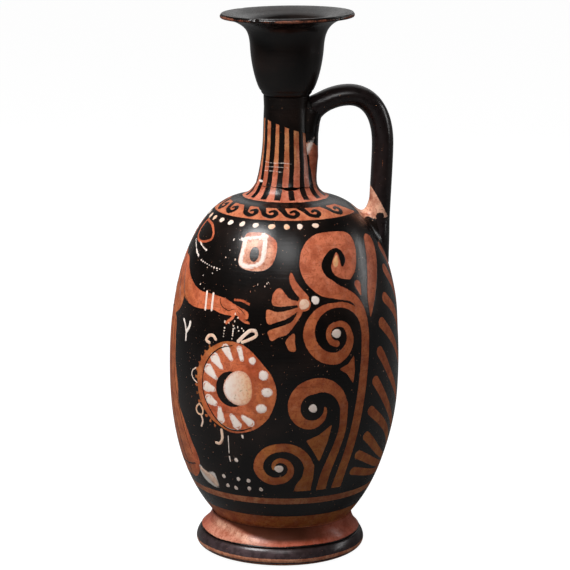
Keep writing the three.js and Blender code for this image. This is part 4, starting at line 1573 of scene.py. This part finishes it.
# White and tan strokes: the line, its width, its shade and its bed
STROKES = (
    (((136.7, 122.0), (139.0, 123.2), (137.5, 125.6), (134.8, 126.1), (132.9, 124.3)), 2.0, 0.55, 0.0),
    (((120.3, 124.8), (117.4, 128.1), (114.3, 130.9), (111.4, 131.1)), 2.2, 0.35, 0.0),
    (((111.4, 131.0), (111.0, 128.6), (114.7, 126.2), (118.2, 124.6)), 1.9, 0.5, 0.0),
    (((145.4, 107.4), (148.1, 105.4), (148.6, 102.6), (146.8, 100.6), (144.6, 99.6)), 0.8, 0.3, 0.0),
    (((143.2, 88.7), (145.6, 86.0), (144.9, 83.2), (141.6, 83.0), (141.0, 86.0),
      (143.0, 88.4)), 1.2, 0.7, 0.0),
    (((142.4, 82.8), (141.4, 79.6), (142.6, 76.4)), 1.3, 0.4, 0.0),
    (((129.5, 77.1), (129.3, 72.6), (131.0, 69.2), (133.6, 69.0)), 1.8, 0.5, 0.0),
    (((125.7, 74.2), (125.9, 69.0), (126.0, 64.4)), 0.5, 0.1, 0.0),
    (((126.1, 62.6), (125.8, 59.8)), 0.9, 0.1, 0.0),
    (((117.9, 75.4), (117.6, 74.0)), 1.2, 0.1, 0.0),
    (((141.7, 138.4), (142.4, 147.6)), 1.5, 0.1, ON_CLAY),
    (((137.3, 138.8), (137.7, 147.4)), 1.5, 0.1, ON_CLAY),
    (((159.2, 130.3), (157.1, 127.8), (155.5, 124.1), (155.4, 119.8)), 1.5, 0.0, 0.0),
    (((152.4, 130.2), (153.0, 127.4), (155.3, 124.4)), 2.2, 0.0, 0.0),
    (((201.5, 165.0), (203.5, 163.2), (206.5, 163.4)), 0.8, 0.2, ON_CLAY),
    (((188.4, 180.2), (193.0, 177.4), (198.0, 174.2), (204.0, 171.0)), 0.9, 0.3, 0.0),
    (((228.0, 178.0), (231.0, 166.0), (226.0, 156.0), (230.0, 148.0)), 1.2, 0.4, 0.0),
    (((233.6, 128.6), (238.0, 133.0), (240.5, 141.0)), 1.0, 0.2, 0.0),
)
# Dots at the figure's feet, and rows of flecks: the line, the size, the gap and the shade
FOOT_DOTS = (
    (131.7, 50.2), (122.4, 50.0), (116.4, 49.7), (130.4, 44.9), (125.0, 44.3), (116.6, 45.0), (109.6, 45.0),
    (122.2, 61.0),
)
FLECK_ROWS = (
    (((172.3, 169.7), (167.4, 167.5), (162.4, 165.0), (157.5, 163.0)), 0.75, 1.1, 0.0),
    (((153.9, 161.8), (146.8, 160.7), (141.1, 159.9), (136.1, 159.6)), 0.6, 2.0, 0.1),
    (((163.0, 169.6), (158.0, 168.3), (152.2, 167.0)), 0.7, 1.2, 0.1),
    (((123.2, 132.6), (123.3, 128.4), (123.9, 124.8)), 0.5, 1.7, 0.2),
    (((128.2, 131.0), (128.4, 128.0), (128.6, 125.6)), 0.5, 1.5, 0.2),
    (((182, 159.5), (188, 155.5), (195, 155.5), (202, 159.5)), 0.7, 1.8, 0.2),
    (((222, 64), (228, 60), (236, 59), (244, 62)), 1.1, 4.2, 0.2),
)
SHOE_STROKES = (
    (((149.4, 51.4), (145.0, 48.8), (140.8, 46.6), (139.0, 43.8)), (2.4, 4.6, 6.0, 3.6), 0.45),
    (((188.0, 43.8), (183.0, 43.6), (177.6, 43.6)), (3.2, 3.4, 2.2), 0.5),
)
ROSETTE = (238.0, 108.0)
ROSETTE_RADIUS = 4.2
ROSETTE_PETALS = 7
# The row of dots round the shoulder: first and last angle and the pitch, and its height
DOT_ROW = (74.4, 286, 11.15)
DOT_HEIGHT = 182.0
VOLUTE_DOTS = (2.7, 2.4, 2.4)
HOOK_EYE = ((64.8, 167.4), (66.0, 165.2), (66.9, 163.0))
# Flecks that are left where a stroke has flaked off: middle, spread and number
FLECKS = (
    (146, 156, 5, 3, 6),
    (124, 134, 4, 4, 12),
    (110, 154, 2, 2, 4),
    (133, 170, 4, 3, 5),
    (205, 140, 12, 10, 10),
)


def make_white_paint():
    paint = RaisedPaint(body_wall, WHITE_LIFT)
    for angle in np.arange(*DOT_ROW):
        spot = (angle + dice.uniform(-0.8, 0.8), DOT_HEIGHT + dice.uniform(-0.2, 0.2))
        paint.dab(spot, dice.uniform(1.6, 2.0), dice.uniform(1.6, 1.9), dice.uniform(0.1, 0.8))
    for side in SIDES:
        for (centre, *_), size in zip(VOLUTES, VOLUTE_DOTS):
            paint.dab(centre, size, size, dice.uniform(0.0, 0.2), 0.0, side)
        paint.dab(FAN_HUB, 2.8, 3.0, 0.55, ON_CLAY, side)
        paint.dab(FAN_BUD, 2.3, 2.4, 0.05, 0.0, side)
        paint.line(HOOK_EYE, (1.5, 3.4, 2.8), 1.0, ON_CLAY, side)
    for bar, width in WINDOW_BARS:
        paint.line(bar, width * 0.5, 0.1, ON_CLAY, height=0.7)
    for inner, outer, narrow, wide in DISH_RAYS:
        middle = mixed(np.array(inner), np.array(outer), 0.6)
        paint.line((inner, middle, outer), (narrow, mixed(narrow, wide, 0.75), wide), 0.05, ON_CLAY)
    for place, right_half, up_half in DISH_DOTS:
        paint.dab(place, right_half, up_half, 0.05, ON_CLAY)
    paint.dab(DISH_BOSS, 9.0, 8.9, 0.45, ON_CLAY, height=1.6, drift=0.065)
    for places, width, shade, bed in STROKES:
        paint.line(places, width, shade, bed)
    for places, widths, shade in SHOE_STROKES:
        paint.line(places, widths, shade)
    for spot in FOOT_DOTS:
        paint.dab(spot, 1.2, 1.3, 0.1)
    for places, size, gap, shade in FLECK_ROWS:
        paint.string(places, size, gap, shade)
    for number in range(ROSETTE_PETALS):
        turn = number * 2 * math.pi / ROSETTE_PETALS
        petal = body_wall.at(ROSETTE, ROSETTE_RADIUS * math.cos(turn), ROSETTE_RADIUS * math.sin(turn))
        paint.dab(petal, 1.4, 1.4, 0.2)
    paint.dab(ROSETTE, 1.7, 1.7, 0.8)
    scatter_flecks(paint)
    piece = paint.piece("added_white", white_paint)


def scatter_flecks(paint):
    for angle, height, wide, tall, count in FLECKS:
        for _ in range(count):
            spot = (dice.normal(angle, wide), dice.normal(height, tall))
            size = (dice.uniform(0.2, 0.45), dice.uniform(0.25, 0.8))
            paint.dab(spot, *size, dice.uniform(0.0, 0.5), height=0.6)


def make_relief_lines():
    paint = RaisedPaint(body_wall, LINE_LIFT)
    for places, width in (*FOLDS, *FACE_LINES, (DISH_LINE, 0.8)):
        widths = [width * 0.6] + [width] * (len(places) - 2) + [width * 0.5]
        paint.line(places, widths)
    piece = paint.piece("relief_lines", relief_slip)


make_foot()
make_body()
make_neck()
make_mouth()
make_joints()
make_handle()
make_shoulder_pad()
make_neck_pad()
make_white_paint()
make_relief_lines()


# Stage: white for the camera. Gloss sees a share of that white behind the vase, and the dim studio elsewhere.
FLOOR_HALF = 8.0
FLOOR_GLOW = 0.97
FLOOR_GREY = rgb(0.2, 0.2, 0.2)
WORLD_LIGHT = 0.06
GLOSS_SHARE = 0.2
CAMERA_AZIMUTH = 83.0
BACKDROP = (-math.sin(math.radians(CAMERA_AZIMUTH)), math.cos(math.radians(CAMERA_AZIMUTH)), 0.0)


def seen_white(tree, backdrop):
    """1 for the camera, and for gloss and glass where the lit backdrop is."""
    path = tree.add("ShaderNodeLightPath").outputs
    mirrored = tree.sum("MAXIMUM", path["Is Glossy Ray"], path["Is Transmission Ray"])
    mirrored = tree.sum("MULTIPLY", mirrored, GLOSS_SHARE)
    return tree.sum("MAXIMUM", path["Is Camera Ray"], tree.sum("MULTIPLY", mirrored, backdrop))


def make_floor():
    tree = new_material("pale_floor")
    seen = seen_white(tree, tree.share_towards(tree.place, BACKDROP, 0.3, 1.5))
    glow = tree.sum("MULTIPLY", seen, FLOOR_GLOW)
    light = tree.add("ShaderNodeEmission", {"Strength": glow})
    matt = tree.add("ShaderNodeBsdfDiffuse", {"Color": FLOOR_GREY})
    both = tree.add("ShaderNodeAddShader", {0: light.outputs[0], 1: matt.outputs[0]})
    out = tree.add("ShaderNodeOutputMaterial")
    tree.links.new(both.outputs[0], out.inputs["Surface"])
    half = FLOOR_HALF
    mesh = bpy.data.meshes.new("floor")
    corners = [(-half, -half, 0), (half, -half, 0), (half, half, 0), (-half, half, 0)]
    mesh.from_pydata(corners, [], [(0, 1, 2, 3)])
    mesh.materials.append(tree.owner)
    floor = bpy.data.objects.new("floor", mesh)
    bpy.context.scene.collection.objects.link(floor)


def make_world():
    world = bpy.data.worlds.new("studio")
    bpy.context.scene.world = world
    tree = Tree(world)
    seen = seen_white(tree, tree.share_towards(tree.direction, BACKDROP, 0.6, 0.95))
    strength = tree.sum("MULTIPLY_ADD", seen, 1 - WORLD_LIGHT, WORLD_LIGHT)
    background = tree.add("ShaderNodeBackground", {"Strength": strength})
    out = tree.add("ShaderNodeOutputWorld")
    tree.links.new(background.outputs[0], out.inputs["Surface"])


# Camera and lamps. Bearings are degrees to the right of the camera, seen from the vase.
CAMERA_DISTANCE = 1.35
CAMERA_HEIGHT = 0.4305
CAMERA_PITCH = 12.024
CAMERA_YAW = -0.005
CAMERA_ROLL = 0.53
SENSOR = 36.0
IMAGE_WIDTH = 570
FOCAL_PIXELS = 2601
LENS = FOCAL_PIXELS / IMAGE_WIDTH * SENSOR
# Each lamp: bearing and elevation, distance, width and height in metres, lean, and watts
LAMPS = (
    ("key", -50.0, 52.0, 0.9, 0.34, 0.34, 0.0, 11.0),
    ("fill", 2.0, 45.0, 1.1, 0.4, 0.4, 0.0, 3.1),
    ("right_strip", 99.5, 16.0, 0.9, 0.045, 0.55, -48.0, 1.6),
    ("back", 172.0, 38.0, 1.1, 0.9, 0.9, 0.0, 1.8),
)
LAMP_AIM = Vector((0, 0, 0.15))


def make_camera():
    data = bpy.data.cameras.new("camera")
    data.sensor_width = SENSOR
    data.lens = LENS
    camera = bpy.data.objects.new("camera", data)
    bpy.context.scene.collection.objects.link(camera)
    azimuth = math.radians(CAMERA_AZIMUTH)
    place = Vector((math.sin(azimuth), -math.cos(azimuth), 0)) * CAMERA_DISTANCE
    place.z = CAMERA_HEIGHT
    turn = Matrix.Rotation(math.radians(CAMERA_AZIMUTH + CAMERA_YAW), 4, "Z")
    tilt = Matrix.Rotation(math.radians(90 - CAMERA_PITCH), 4, "X")
    roll = Matrix.Rotation(math.radians(CAMERA_ROLL), 4, "Z")
    camera.matrix_world = Matrix.Translation(place) @ turn @ tilt @ roll
    bpy.context.scene.camera = camera


def make_lamps():
    for name, bearing, elevation, distance, wide, tall, lean, watts in LAMPS:
        data = bpy.data.lights.new(name, "AREA")
        data.shape = "RECTANGLE"
        data.size, data.size_y = wide, tall
        data.energy = watts
        lamp = bpy.data.objects.new(name, data)
        bpy.context.scene.collection.objects.link(lamp)
        turn = math.radians(CAMERA_AZIMUTH + bearing)
        rise = math.radians(elevation)
        out = Vector((math.sin(turn) * math.cos(rise), -math.cos(turn) * math.cos(rise), math.sin(rise)))
        lamp.location = LAMP_AIM + out * distance
        lamp.rotation_mode = "QUATERNION"
        lean = Quaternion((0, 0, 1), math.radians(lean))
        lamp.rotation_quaternion = (-out).to_track_quat("-Z", "Y") @ lean


make_floor()
make_world()
make_camera()
make_lamps()
bpy.context.scene.view_settings.view_transform = "Standard"
